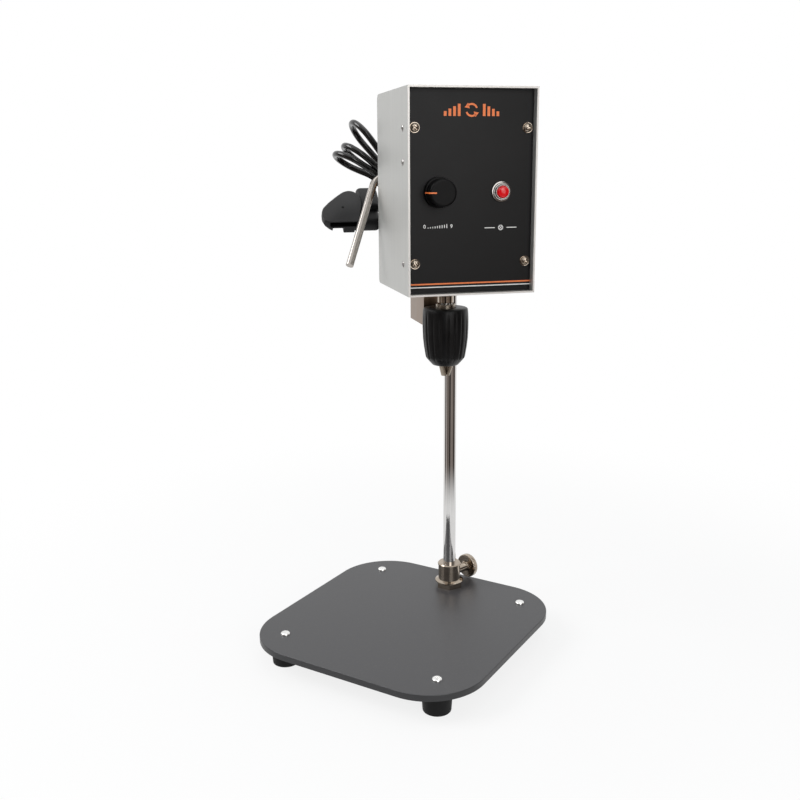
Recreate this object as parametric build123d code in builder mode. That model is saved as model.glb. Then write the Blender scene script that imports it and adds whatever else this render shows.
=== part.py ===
from build123d import *
import math
import os

# Overhead laboratory stirrer on a plate stand. Millimetres, +Z up. The origin is on the
# bench under the middle of the stand plate, -Y is the front. The head is turned about the
# column, so its pieces are placed in the head's own planes: x to the right seen from its
# panel, y to the back, with the column's axis at x = y = 0.

# ---- stand ---------------------------------------------------------------------------
plate_width = 230.0
plate_depth = 236.0
plate_thickness = 6.0
plate_corner_radius = 55.0
plate_edge_radius = 0.8
foot_height = 22.0
foot_diameter = 28.0
foot_tip_diameter = 25.0
foot_inset_x = 33.5
foot_inset_y = 32.5
foot_floor = 10.0
foot_screw_diameter = 5.0
foot_screw_head_diameter = 9.0
foot_screw_head_height = 2.2
foot_nut_flats = 8.0
foot_nut_height = 4.0
foot_washer_diameter = 12.0
washer_thickness = 1.0

# ---- column and its boss -------------------------------------------------------------
column_diameter = 12.7
column_top = 515.0
column_edge_gap = 30.0
column_chamfer = 0.8
running_clearance = 0.05
moving_gap = 0.3
boss_height = 26.0
boss_diameter = 22.6
boss_lip_diameter = 24.0
boss_lip_height = 1.8
boss_flange_diameter = 29.0
boss_flange_thickness = 2.0
boss_nut_height = 5.4
boss_nut_flats = 24.0
boss_tail_diameter = 16.0
boss_washer_diameter = 27.0
boss_washer_thickness = 1.5
boss_base_nut_height = 7.0
column_socket_depth = 33.0
boss_screw_height = 13.5
boss_screw_turn = 75.0

thumb_screw_diameter = 6.0
thumb_neck_diameter = 8.4
thumb_disc_diameter = 20.0
thumb_disc_thickness = 4.5
thumb_disc_reach = 26.0
thumb_knurls = 24

# ---- head: place and case ------------------------------------------------------------
head_turn = 45.0
case_bottom = 350.0
case_width = 110.0
case_height = 167.0
case_depth = 111.0
case_shift = -20.0
case_back_gap = 18.0
sheet = 1.5
case_top_bend = 6.0
case_bottom_bend = 4.0
panel_recess = 7.0
panel_thickness = 2.0
panel_gap = 0.4
panel_screw_spacing_x = 96.0
panel_screw_low = 26.5
panel_screw_high = 135.0
panel_screw_diameter = 5.0
panel_screw_head_diameter = 9.6
panel_screw_head_height = 3.4
panel_screw_length = 12.0
panel_washer_diameter = 10.4
panel_washer_thickness = 0.8
bracket_sheet = 1.5
bracket_depth = 17.0
bracket_flange = 12.0
bracket_low_height = 20.0
bracket_high_height = 46.0
rivet_diameter = 3.2
rivet_head_diameter = 5.6
rivet_head_height = 0.5
rivet_setback = 18.0
rivet_heights = (25.5, 108.0, 135.0)

# ---- controls ------------------------------------------------------------------------
knob_x = -28.0
control_height = 84.0
knob_diameter = 25.0
knob_face_diameter = 22.0
knob_height = 16.5
knob_skirt_height = 3.0
knob_hollow_diameter = 16.0
knob_hollow_depth = 5.0
knob_flutes = 24
knob_pointer_width = 1.4
knob_pointer_inner = 4.5
pot_shaft_diameter = 6.0
pot_bushing_diameter = 7.0
pot_bushing_reach = 4.0
pot_body_diameter = 24.0
pot_body_depth = 12.0
pot_nut_flats = 10.0
pot_nut_height = 2.4
lamp_x = 26.0
lamp_bezel_diameter = 17.0
lamp_bezel_height = 4.0
lamp_lens_diameter = 11.4
lamp_lens_height = 8.5
lamp_body_diameter = 12.0
lamp_body_depth = 24.0
lamp_nut_flats = 17.0
lamp_nut_height = 3.0

# ---- clamp bracket behind the case ---------------------------------------------------
clamp_left = 32.0
clamp_right = 11.0
clamp_back = 34.0
clamp_bottom = 307.0
clamp_low_height = 64.0
clamp_high_bottom = 425.0
clamp_high_height = 42.0
clamp_web_thickness = 9.0
clamp_corner_radius = 10.0
clamp_bolt_diameter = 5.0
clamp_bolt_head_diameter = 9.0
clamp_bolt_head_height = 2.8
clamp_bolt_places = ((-26.0, 361.0), (5.0, 361.0), (-26.0, 456.0), (5.0, 456.0))
lever_height = 446.0
lever_screw_diameter = 10.0
lever_rod_diameter = 7.0
lever_elbow_x = -73.0
lever_elbow_radius = 16.0
lever_reach_left = 35.0
lever_reach_front = 45.0
lever_drop = 77.0
lever_tip_gap = 0.3

# ---- motor and spindle ---------------------------------------------------------------
spindle_y = -50.0
motor_plate_thickness = 3.0
motor_plate_width = 84.0
motor_plate_depth = 52.0
motor_diameter = 52.0
motor_wall = 2.0
end_bell_height = 12.0
motor_can_height = 60.0
stator_bore = 35.0
stator_height = 44.0
armature_diameter = 34.0
armature_height = 40.0
motor_shaft_diameter = 8.0
bearing_outer = 22.0
bearing_width = 7.0
nose_diameter = 14.7
nose_length = 17.0
commutator_diameter = 18.0
commutator_height = 9.0
fan_diameter = 44.0
fan_height = 9.0
fan_blades = 8
motor_screw_diameter = 4.0
motor_screw_spacing_x = 72.0
motor_screw_spacing_y = 38.0
brush_width = 5.0
brush_length = 9.0

# ---- chuck ---------------------------------------------------------------------------
chuck_gap = 1.0
chuck_collar_diameter = 18.0
chuck_collar_height = 3.6
sleeve_length = 53.8
sleeve_diameter = 42.4
sleeve_waist_drop = 14.0
sleeve_low_diameter = 36.6
sleeve_low_height = 8.3
sleeve_mouth_diameter = 22.0
sleeve_top_wall = 3.0
sleeve_cavity_diameter = 37.4
sleeve_flutes = 12
flute_radius = 2.6
flute_depth = 1.1
chuck_body_diameter = 29.0
chuck_nose_diameter = 21.4
chuck_nut_height = 5.0
jaw_diameter = 6.4
jaw_tilt = 18.0
jaw_length = 30.0
jaw_drop = 9.8
jaw_tip_offset = 0.8
jaw_gap = 0.6

# ---- electronics ---------------------------------------------------------------------
board_length = 92.0
board_panel_gap = 4.0
board_motor_gap = 6.0
board_hole_inset = 4.0
board_thickness = 1.6
board_height = 8.0
standoff_diameter = 5.0

# ---- cord ----------------------------------------------------------------------------
cord_diameter = 6.0
cord_bend_radius = 20.0
gland_x = -58.0
gland_z = 364.0
gland_flange_diameter = 14.0
relief_length = 22.0
relief_tip_diameter = 8.4
hank_columns = (-55.8, -49.4, -43.0, -36.6)
hank_waist_z = 430.0
hank_lifts = (4.0, 3.0, 2.0, 0.0)
hank_tips = ((-104.5, 467.5), (-96.0, 474.0), (-86.8, 495.0), (-63.0, 490.0))
hank_middle = 31.0
hank_fold_radius = 18.0
hank_foot_z = 371.0
hank_waist_front = 13.0
hank_waist_back = 36.0
hank_waist_height = 26.0
hank_loop_width = 7.0
tie_width = 5.0
tie_thickness = 1.4
plug_tilt = 50.0
plug_corner = (-117.5, 28.0, 403.0)
plug_plate_depth = 13.0
plug_skirt_depth = 20.0
plug_outline = ((1, -6), (0, 16), (14, 35), (22, 42), (30, 43), (36, 39), (39, 30), (38.5, -1), (10, -2))
plug_grip_start = 38.0
plug_grip_length = 17.0
plug_grip_exit = (24.0, 16.0)
plug_pin_places = ((10, 10, 2.5, 15.0), (29, 10, 2.5, 15.0), (19.5, 32.2, 3.5, 20.0))
plug_pin_root = 5.0
tail_bend_radius = 18.0
tail_rise = 37.0
tail_end_run = 7.0

# ---- worked out ----------------------------------------------------------------------
plate_bottom = foot_height
plate_top = foot_height + plate_thickness
foot_spacing_x = plate_width - 2 * foot_inset_x
foot_spacing_y = plate_depth - 2 * foot_inset_y
column_setback = plate_depth / 2 - column_edge_gap
column_radius = column_diameter / 2
case_left = case_shift - case_width / 2
case_right = case_shift + case_width / 2
case_back = -case_back_gap
case_front = case_back - case_depth
case_middle_z = case_bottom + case_height / 2
panel_face = case_front + panel_recess
panel_back = panel_face + panel_thickness
UP = Vector(0, 0, 1)

head_x = Vector(1, 0, 0).rotate(Axis.Z, head_turn)
head_y = Vector(0, 1, 0).rotate(Axis.Z, head_turn)
head = Plane(origin=(0, column_setback, 0), x_dir=head_x, z_dir=UP)


def spot(x, y, z):
    """A point given in the head's own directions."""
    return head.from_local_coords(Vector(x, y, z))


def facing_front(x, y, z):
    """Upright plane looking out of the panel: x to the right, y up."""
    return Plane(origin=spot(x, y, z), x_dir=head_x, z_dir=-head_y)


def facing_left(x, y, z):
    """Upright plane looking to the head's left: x to the front, y up."""
    return Plane(origin=spot(x, y, z), x_dir=-head_y, z_dir=-head_x)


def upright(point):
    """Half plane for a turned piece on a vertical axis: x up, y outwards."""
    return Plane(origin=point, x_dir=UP, z_dir=head_y)


def along(point, direction):
    """Half plane for a turned piece whose axis runs along a direction."""
    side = UP.cross(direction)
    return Plane(origin=point, x_dir=direction, z_dir=side)


def turned(plane, outline, mode=Mode.ADD):
    """Turn an outline of (distance along the axis, radius) points about the plane's x axis."""
    with BuildSketch(plane, mode=Mode.PRIVATE) as half:
        with BuildLine():
            Polyline(*outline, close=True)
        make_face()
    revolve(half.sketch, axis=Axis(plane.origin, plane.x_dir), mode=mode)


# ======================================================================================
# Stand
# ======================================================================================
with BuildPart() as base_plate:
    with BuildSketch(Plane.XY.offset(plate_bottom)):
        RectangleRounded(plate_width, plate_depth, plate_corner_radius)
        with GridLocations(foot_spacing_x, foot_spacing_y, 2, 2):
            Circle(foot_screw_diameter / 2 + running_clearance, mode=Mode.SUBTRACT)
        with Locations((0, column_setback)):
            Circle(boss_tail_diameter / 2 + running_clearance, mode=Mode.SUBTRACT)
    extrude(amount=plate_thickness)
    fillet(base_plate.edges().group_by(Axis.Z)[-1].sort_by(SortBy.LENGTH)[-8:], plate_edge_radius)

with BuildPart() as rubber_feet:
    with BuildSketch(Plane.XY.offset(foot_height)):
        with GridLocations(foot_spacing_x, foot_spacing_y, 2, 2):
            Circle(foot_diameter / 2)
    foot_taper = math.degrees(math.atan((foot_diameter - foot_tip_diameter) / 2 / foot_height))
    extrude(amount=-foot_height, taper=foot_taper)
    fillet(rubber_feet.edges().group_by(Axis.Z)[0], 1.2)
    with BuildSketch(Plane.XY):
        with GridLocations(foot_spacing_x, foot_spacing_y, 2, 2):
            Circle(foot_washer_diameter / 2 + moving_gap)
    extrude(amount=foot_height - foot_floor, mode=Mode.SUBTRACT)
    with BuildSketch(Plane.XY):
        with GridLocations(foot_spacing_x, foot_spacing_y, 2, 2):
            Circle(foot_screw_diameter / 2 + running_clearance)
    extrude(amount=foot_height, mode=Mode.SUBTRACT)

foot_ceiling = foot_height - foot_floor
foot_screw_end = foot_ceiling - washer_thickness - foot_nut_height - 1.0
with BuildPart() as foot_screws:
    with BuildSketch(Plane.XY.offset(plate_top)):
        with GridLocations(foot_spacing_x, foot_spacing_y, 2, 2):
            Circle(foot_screw_head_diameter / 2)
    extrude(amount=foot_screw_head_height)
    fillet(foot_screws.edges().group_by(Axis.Z)[-1], foot_screw_head_height * 0.8)
    with BuildSketch(Plane.XY.offset(plate_top)):
        with GridLocations(foot_spacing_x, foot_spacing_y, 2, 2):
            Circle(foot_screw_diameter / 2)
    extrude(amount=foot_screw_end - plate_top)

with BuildPart() as foot_nuts:
    with BuildSketch(Plane.XY.offset(foot_ceiling - washer_thickness - foot_nut_height)):
        with GridLocations(foot_spacing_x, foot_spacing_y, 2, 2):
            RegularPolygon(foot_nut_flats / 2, 6, major_radius=False)
            Circle(foot_screw_diameter / 2 + running_clearance, mode=Mode.SUBTRACT)
    extrude(amount=foot_nut_height + washer_thickness)
    with BuildSketch(Plane.XY.offset(foot_ceiling - washer_thickness)):
        with GridLocations(foot_spacing_x, foot_spacing_y, 2, 2):
            Circle(foot_washer_diameter / 2)
            Circle(foot_screw_diameter / 2 + running_clearance, mode=Mode.SUBTRACT)
    extrude(amount=washer_thickness)

# ---- column boss ---------------------------------------------------------------------
column_foot = Vector(0, column_setback, 0)
boss_base = column_foot + UP * plate_top
boss_tail = plate_thickness + boss_washer_thickness + boss_base_nut_height + 1.0
socket_floor = plate_top + boss_height - column_socket_depth
screw_way = Vector(1, 0, 0).rotate(Axis.Z, boss_screw_turn)
boss_screw_axis = boss_base + UP * boss_screw_height
flange_low = boss_nut_height
flange_high = boss_nut_height + boss_flange_thickness
bead = boss_flange_thickness / 2

with BuildPart() as column_boss:
    turned(
        upright(boss_base),
        (
            (-boss_tail, 0),
            (-boss_tail, boss_tail_diameter / 2),
            (flange_low, boss_tail_diameter / 2),
            (flange_low, boss_flange_diameter / 2 - bead / 2),
            (flange_low + bead / 2, boss_flange_diameter / 2),
            (flange_high - bead / 2, boss_flange_diameter / 2),
            (flange_high, boss_flange_diameter / 2 - bead),
            (flange_high + bead, boss_diameter / 2),
            (boss_height - boss_lip_height, boss_diameter / 2),
            (boss_height - boss_lip_height, boss_lip_diameter / 2),
            (boss_height - boss_lip_height / 2, boss_lip_diameter / 2),
            (boss_height, boss_lip_diameter / 2 - boss_lip_height / 2),
            (boss_height, 0),
        ),
    )
    with BuildSketch(Plane.XY.offset(plate_top + boss_height)):
        with Locations((0, column_setback)):
            Circle(column_radius + running_clearance)
    extrude(amount=-column_socket_depth, mode=Mode.SUBTRACT)
    turned(
        along(boss_screw_axis, screw_way),
        (
            (0, 0),
            (0, thumb_screw_diameter / 2 + running_clearance),
            (boss_flange_diameter, thumb_screw_diameter / 2 + running_clearance),
            (boss_flange_diameter, 0),
        ),
        mode=Mode.SUBTRACT,
    )

with BuildPart() as boss_lock_nut:
    with BuildSketch(Plane.XY.offset(plate_top)):
        with Locations((0, column_setback)):
            RegularPolygon(boss_nut_flats / 2, 6, major_radius=False)
            Circle(boss_tail_diameter / 2 + running_clearance, mode=Mode.SUBTRACT)
    extrude(amount=boss_nut_height)

with BuildPart() as boss_washer:
    with BuildSketch(Plane.XY.offset(plate_bottom - boss_washer_thickness)):
        with Locations((0, column_setback)):
            Circle(boss_washer_diameter / 2)
            Circle(boss_tail_diameter / 2 + running_clearance, mode=Mode.SUBTRACT)
    extrude(amount=boss_washer_thickness)

with BuildPart() as boss_base_nut:
    with BuildSketch(Plane.XY.offset(plate_bottom - boss_washer_thickness - boss_base_nut_height)):
        with Locations((0, column_setback)):
            RegularPolygon(boss_nut_flats / 2, 6, major_radius=False)
            Circle(boss_tail_diameter / 2 + running_clearance, mode=Mode.SUBTRACT)
    extrude(amount=boss_base_nut_height)

thumb_tip = column_radius + moving_gap
thumb_neck_start = boss_lip_diameter / 2 + moving_gap
thumb_disc_end = thumb_disc_reach + thumb_disc_thickness
with BuildPart() as thumb_screw:
    turned(
        along(boss_screw_axis, screw_way),
        (
            (thumb_tip, 0),
            (thumb_tip, thumb_screw_diameter / 2 - 0.6),
            (thumb_tip + 1.5, thumb_screw_diameter / 2),
            (thumb_neck_start, thumb_screw_diameter / 2),
            (thumb_neck_start, thumb_neck_diameter / 2),
            (thumb_disc_reach - 5.0, thumb_neck_diameter / 2 + 0.6),
            (thumb_disc_reach - 2.2, thumb_neck_diameter / 2 + 1.8),
            (thumb_disc_reach, thumb_disc_diameter / 2 - 1.6),
            (thumb_disc_reach, thumb_disc_diameter / 2 - 0.6),
            (thumb_disc_reach + 0.6, thumb_disc_diameter / 2),
            (thumb_disc_end - 0.6, thumb_disc_diameter / 2),
            (thumb_disc_end, thumb_disc_diameter / 2 - 0.6),
            (thumb_disc_end, 0),
        ),
    )
    thumb_face = Plane(origin=boss_screw_axis + screw_way * thumb_disc_reach, z_dir=screw_way)
    with BuildSketch(thumb_face):
        with PolarLocations(thumb_disc_diameter / 2 + 0.25, thumb_knurls):
            Circle(0.6)
    extrude(amount=thumb_disc_thickness, mode=Mode.SUBTRACT)

# ======================================================================================
# Column
# ======================================================================================
with BuildPart() as column_rod:
    with BuildSketch(Plane.XY.offset(socket_floor + moving_gap)):
        with Locations((0, column_setback)):
            Circle(column_radius)
    extrude(amount=column_top - socket_floor - moving_gap)
    chamfer(column_rod.edges(), column_chamfer)

# ======================================================================================
# Case
# ======================================================================================
side_centre = (-(case_front + case_back) / 2, case_middle_z)


def round_back_corners(sketch, reach):
    """Round the two back corners of a side profile: the top bend, then the bottom one."""
    back = sketch.vertices().group_by(Axis.X)[0].sort_by(Axis.Y)
    fillet(back[-1], case_top_bend + reach)
    back = sketch.vertices().group_by(Axis.X)[0].sort_by(Axis.Y)
    fillet(back[0], case_bottom_bend + reach)


with BuildPart() as case_wrap:
    with BuildSketch(facing_left(case_right - sheet, 0, 0)) as wrap_profile:
        with Locations(side_centre):
            Rectangle(case_depth, case_height)
        round_back_corners(wrap_profile, 0)
    extrude(amount=case_width - 2 * sheet)
    with BuildSketch(facing_left(case_right - sheet, 0, 0)) as wrap_hollow:
        with Locations((side_centre[0] + sheet / 2, side_centre[1])):
            Rectangle(case_depth - sheet, case_height - 2 * sheet)
        round_back_corners(wrap_hollow, -sheet)
    extrude(amount=case_width - 2 * sheet, mode=Mode.SUBTRACT)
    with BuildSketch(head.offset(case_bottom)):
        with Locations((case_shift, spindle_y)):
            Circle(nose_diameter / 2 + 1.0)
            with GridLocations(motor_screw_spacing_x, motor_screw_spacing_y, 2, 2):
                Circle(motor_screw_diameter / 2 + running_clearance)
    extrude(amount=sheet, mode=Mode.SUBTRACT)
    with BuildSketch(facing_front(0, case_back, 0)):
        with Locations(*clamp_bolt_places):
            Circle(clamp_bolt_diameter / 2 + running_clearance)
        with Locations((gland_x, gland_z)):
            Circle(gland_flange_diameter / 2 - 2 + running_clearance)
    extrude(amount=sheet, mode=Mode.SUBTRACT)

side_pieces = {}
for side_name, outer_x, inward in (("left", case_left, -1), ("right", case_right, 1)):
    with BuildPart() as case_side:
        with BuildSketch(facing_left(outer_x, 0, 0)) as side_profile:
            with Locations(side_centre):
                Rectangle(case_depth, case_height)
            round_back_corners(side_profile, 0)
            for rivet_height in rivet_heights:
                with Locations((-case_front - rivet_setback, case_bottom + rivet_height)):
                    Circle(rivet_diameter / 2 + running_clearance, mode=Mode.SUBTRACT)
        extrude(amount=sheet * inward)
    side_pieces[side_name] = case_side

inner_left = case_left + sheet
inner_right = case_right - sheet
with BuildPart() as panel_brackets:
    for screw_height, bracket_height in (
        (panel_screw_low, bracket_low_height),
        ((panel_screw_high + rivet_heights[1]) / 2, bracket_high_height),
    ):
        for wall_x, inward in ((inner_left, 1), (inner_right, -1)):
            with BuildSketch(head.offset(case_bottom + screw_height - bracket_height / 2)):
                with BuildLine():
                    Polyline(
                        (wall_x, panel_back),
                        (wall_x + inward * bracket_flange, panel_back),
                        (wall_x + inward * bracket_flange, panel_back + bracket_sheet),
                        (wall_x + inward * bracket_sheet, panel_back + bracket_sheet),
                        (wall_x + inward * bracket_sheet, panel_back + bracket_depth),
                        (wall_x, panel_back + bracket_depth),
                        close=True,
                    )
                make_face()
            extrude(amount=bracket_height)
    with BuildSketch(facing_front(case_shift, panel_back, case_bottom)):
        for screw_height in (panel_screw_low, panel_screw_high):
            with Locations((0, screw_height)):
                with GridLocations(panel_screw_spacing_x, 1, 2, 1):
                    Circle(panel_screw_diameter / 2 + running_clearance)
    extrude(amount=-bracket_sheet, mode=Mode.SUBTRACT)
    with BuildSketch(facing_left(case_right, 0, case_bottom)):
        for rivet_height in rivet_heights:
            with Locations((-case_front - rivet_setback, rivet_height)):
                Circle(rivet_diameter / 2 + running_clearance)
    extrude(amount=case_width, mode=Mode.SUBTRACT)

rivet_grip = sheet + bracket_sheet
with BuildPart() as side_rivets:
    for outer_x, outward in ((case_left, -1), (case_right, 1)):
        for rivet_height in rivet_heights:
            rivet_seat = spot(outer_x, case_front + rivet_setback, case_bottom + rivet_height)
            turned(
                along(rivet_seat, head_x * outward),
                (
                    (-rivet_grip - 1.2, 0),
                    (-rivet_grip - 1.2, rivet_head_diameter / 2 - 0.8),
                    (-rivet_grip, rivet_head_diameter / 2),
                    (-rivet_grip, rivet_diameter / 2),
                    (0, rivet_diameter / 2),
                    (0, rivet_head_diameter / 2),
                    (rivet_head_height / 2, rivet_head_diameter / 2 - 0.3),
                    (rivet_head_height, rivet_head_diameter / 2 - 1.2),
                    (rivet_head_height, 0),
                ),
            )

# ---- front panel and what it carries -------------------------------------------------
with BuildPart() as front_panel:
    with BuildSketch(facing_front(case_shift, panel_back, case_bottom)):
        with Locations((0, case_height / 2)):
            Rectangle(case_width - 2 * (sheet + panel_gap), case_height - 2 * (sheet + panel_gap))
        for screw_height in (panel_screw_low, panel_screw_high):
            with Locations((0, screw_height)):
                with GridLocations(panel_screw_spacing_x, 1, 2, 1):
                    Circle(panel_screw_diameter / 2 + running_clearance, mode=Mode.SUBTRACT)
        with Locations((knob_x, control_height)):
            Circle(pot_bushing_diameter / 2 + running_clearance, mode=Mode.SUBTRACT)
        with Locations((lamp_x, control_height)):
            Circle(lamp_body_diameter / 2 + running_clearance, mode=Mode.SUBTRACT)
    extrude(amount=panel_thickness)

panel_screw_spots = [
    spot(case_shift + x, panel_face, case_bottom + z)
    for x in (-panel_screw_spacing_x / 2, panel_screw_spacing_x / 2)
    for z in (panel_screw_low, panel_screw_high)
]
with BuildPart() as panel_washers:
    for place in panel_screw_spots:
        turned(
            along(place, -head_y),
            (
                (0, panel_screw_diameter / 2 + running_clearance),
                (0, panel_washer_diameter / 2),
                (panel_washer_thickness, panel_washer_diameter / 2),
                (panel_washer_thickness, panel_screw_diameter / 2 + running_clearance),
            ),
        )

with BuildPart() as panel_screws:
    for place in panel_screw_spots:
        head_seat = panel_washer_thickness
        head_crown = panel_washer_thickness + panel_screw_head_height
        turned(
            along(place, -head_y),
            (
                (head_seat - panel_screw_length, 0),
                (head_seat - panel_screw_length, panel_screw_diameter / 2),
                (head_seat, panel_screw_diameter / 2),
                (head_seat, panel_screw_head_diameter / 2),
                (head_seat + 1.4, panel_screw_head_diameter / 2),
                (head_seat + 2.6, panel_screw_head_diameter / 2 - 1.1),
                (head_crown, panel_screw_head_diameter / 2 - 3.0),
                (head_crown, 0),
            ),
        )
        with BuildSketch(Plane(origin=place - head_y * head_crown, x_dir=head_x, z_dir=-head_y)):
            Rectangle(5.0, 1.1)
            Rectangle(1.1, 5.0)
        extrude(amount=-1.8, mode=Mode.SUBTRACT)

knob_centre = spot(case_shift + knob_x, panel_face, case_bottom + control_height)
knob_start = 0.6
with BuildPart() as speed_knob:
    turned(
        along(knob_centre, -head_y),
        (
            (knob_start, 0),
            (knob_start, knob_diameter / 2 - 0.4),
            (knob_start + 0.4, knob_diameter / 2),
            (knob_start + knob_skirt_height, knob_diameter / 2),
            (knob_start + knob_skirt_height + 0.6, knob_diameter / 2 - 0.6),
            (knob_height - 1.4, knob_face_diameter / 2 + 0.2),
            (knob_height - 0.5, knob_face_diameter / 2 - 0.3),
            (knob_height, knob_face_diameter / 2 - 1.3),
            (knob_height, 0),
        ),
    )
    turned(
        along(knob_centre, -head_y),
        (
            (knob_start, 0),
            (knob_start, knob_hollow_diameter / 2),
            (knob_start + knob_hollow_depth, knob_hollow_diameter / 2),
            (knob_start + knob_hollow_depth, pot_shaft_diameter / 2 + running_clearance),
            (knob_height - 4.0, pot_shaft_diameter / 2 + running_clearance),
            (knob_height - 4.0, 0),
        ),
        mode=Mode.SUBTRACT,
    )
    flute_start = knob_centre - head_y * (knob_start + knob_skirt_height + 0.6)
    with BuildSketch(Plane(origin=flute_start, x_dir=head_x, z_dir=-head_y)):
        with PolarLocations(knob_diameter / 2 + 0.15, knob_flutes, start_angle=180 / knob_flutes):
            Circle(0.75)
    extrude(amount=knob_height, mode=Mode.SUBTRACT)
    knob_slot = Plane(origin=knob_centre - head_y * knob_height, x_dir=head_x, z_dir=-head_y)
    with BuildSketch(knob_slot):
        with Locations((-(knob_pointer_inner + knob_diameter / 2) / 2, 0)):
            Rectangle(knob_diameter / 2 - knob_pointer_inner, knob_pointer_width)
    extrude(amount=-0.6, mode=Mode.SUBTRACT)

with BuildPart() as pot_shaft:
    turned(
        along(knob_centre, -head_y),
        (
            (-panel_thickness - 1.0, 0),
            (-panel_thickness - 1.0, pot_shaft_diameter / 2),
            (knob_height - 4.5, pot_shaft_diameter / 2),
            (knob_height - 4.5, 0),
        ),
    )

with BuildPart() as pot_body:
    turned(
        along(knob_centre, -head_y),
        (
            (-panel_thickness - pot_body_depth, 0),
            (-panel_thickness - pot_body_depth, pot_body_diameter / 2 - 1.0),
            (-panel_thickness - pot_body_depth + 1.0, pot_body_diameter / 2),
            (-panel_thickness, pot_body_diameter / 2),
            (-panel_thickness, pot_bushing_diameter / 2),
            (pot_bushing_reach, pot_bushing_diameter / 2),
            (pot_bushing_reach, pot_shaft_diameter / 2 + running_clearance),
            (-panel_thickness - 1.5, pot_shaft_diameter / 2 + running_clearance),
            (-panel_thickness - 1.5, 0),
        ),
    )
    lug_y = panel_back + pot_body_depth / 2
    with BuildSketch(facing_front(case_shift + knob_x, lug_y, case_bottom + control_height)):
        with Locations((0, -pot_body_diameter / 2 - 2.5)):
            with GridLocations(5.0, 1, 3, 1):
                Rectangle(1.6, 8.0)
    extrude(amount=0.8)

lamp_centre = spot(case_shift + lamp_x, panel_face, case_bottom + control_height)
lens_radius = lamp_lens_diameter / 2
with BuildPart() as indicator_bezel:
    turned(
        along(lamp_centre, -head_y),
        (
            (0, lamp_body_diameter / 2 + running_clearance),
            (0, lamp_bezel_diameter / 2),
            (1.2, lamp_bezel_diameter / 2),
            (lamp_bezel_height - 0.6, lamp_bezel_diameter / 2 - 1.2),
            (lamp_bezel_height, lamp_bezel_diameter / 2 - 1.8),
            (lamp_bezel_height, lens_radius + 0.05),
            (1.5, lens_radius + 0.05),
            (1.5, lamp_body_diameter / 2 + running_clearance),
        ),
    )

with BuildPart() as indicator_lens:
    turned(
        along(lamp_centre, -head_y),
        (
            (1.5, 0),
            (1.5, lens_radius),
            (lamp_lens_height - 3.0, lens_radius),
            (lamp_lens_height - 1.4, lens_radius - 0.9),
            (lamp_lens_height - 0.4, lens_radius - 2.6),
            (lamp_lens_height, lens_radius - 4.4),
            (lamp_lens_height, 0),
        ),
    )

with BuildPart() as indicator_body:
    turned(
        along(lamp_centre, -head_y),
        (
            (-panel_thickness - lamp_body_depth, 0),
            (-panel_thickness - lamp_body_depth, lamp_body_diameter / 2 - 1.5),
            (-panel_thickness - lamp_body_depth + 6.0, lamp_body_diameter / 2 - 1.5),
            (-panel_thickness - lamp_body_depth + 6.0, lamp_body_diameter / 2),
            (1.5, lamp_body_diameter / 2),
            (1.5, 0),
        ),
    )
    lamp_back = panel_back + lamp_body_depth
    with BuildSketch(facing_front(case_shift + lamp_x, lamp_back, case_bottom + control_height)):
        with GridLocations(5.0, 1, 2, 1):
            Rectangle(0.8, 4.0)
    extrude(amount=-7.0)

with BuildPart() as control_nuts:
    with BuildSketch(Plane(origin=knob_centre, x_dir=head_x, z_dir=-head_y)):
        RegularPolygon(pot_nut_flats / 2, 6, major_radius=False)
        Circle(pot_bushing_diameter / 2 + running_clearance, mode=Mode.SUBTRACT)
    extrude(amount=pot_nut_height)
    with BuildSketch(facing_front(case_shift + lamp_x, panel_back, case_bottom + control_height)):
        RegularPolygon(lamp_nut_flats / 2, 6, major_radius=False)
        Circle(lamp_body_diameter / 2 + running_clearance, mode=Mode.SUBTRACT)
    extrude(amount=-lamp_nut_height)

# ======================================================================================
# Clamp bracket, its bolts and the locking lever
# ======================================================================================
with BuildPart() as clamp_bracket:
    for boss_bottom, height in ((clamp_bottom, clamp_low_height), (clamp_high_bottom, clamp_high_height)):
        with BuildSketch(head.offset(boss_bottom)) as boss_plan:
            with BuildLine():
                Polyline(
                    (-clamp_left, case_back),
                    (clamp_right, case_back),
                    (clamp_right, clamp_right),
                    (-clamp_right, clamp_right),
                    (-clamp_right, clamp_back),
                    (-clamp_left, clamp_back),
                    close=True,
                )
            make_face()
            inner_corner = boss_plan.vertices().sort_by_distance((-clamp_right, clamp_right))[0]
            fillet(inner_corner, clamp_corner_radius / 2)
            outer_corner = boss_plan.vertices().sort_by_distance((clamp_right, clamp_right))[0]
            fillet(outer_corner, clamp_corner_radius)
            for x in (-clamp_right, -clamp_left):
                back_corner = boss_plan.vertices().sort_by_distance((x, clamp_back))[0]
                fillet(back_corner, 2.0)
        extrude(amount=height)
    with BuildSketch(head.offset(clamp_bottom + clamp_low_height)):
        with Locations(((clamp_right - clamp_left) / 2, case_back + clamp_web_thickness / 2)):
            Rectangle(clamp_left + clamp_right, clamp_web_thickness)
    extrude(amount=clamp_high_bottom - clamp_bottom - clamp_low_height)
    with BuildSketch(head.offset(clamp_bottom)):
        Circle(column_radius + running_clearance)
    extrude(amount=clamp_high_bottom + clamp_high_height - clamp_bottom, mode=Mode.SUBTRACT)
    with BuildSketch(facing_left(0, 0, lever_height)):
        Circle(lever_screw_diameter / 2 + running_clearance)
    extrude(amount=clamp_left, mode=Mode.SUBTRACT)
    with BuildSketch(facing_front(0, case_back, 0)):
        with Locations(*clamp_bolt_places):
            Circle(clamp_bolt_diameter / 2 + running_clearance)
    extrude(amount=-clamp_web_thickness, mode=Mode.SUBTRACT)

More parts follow.
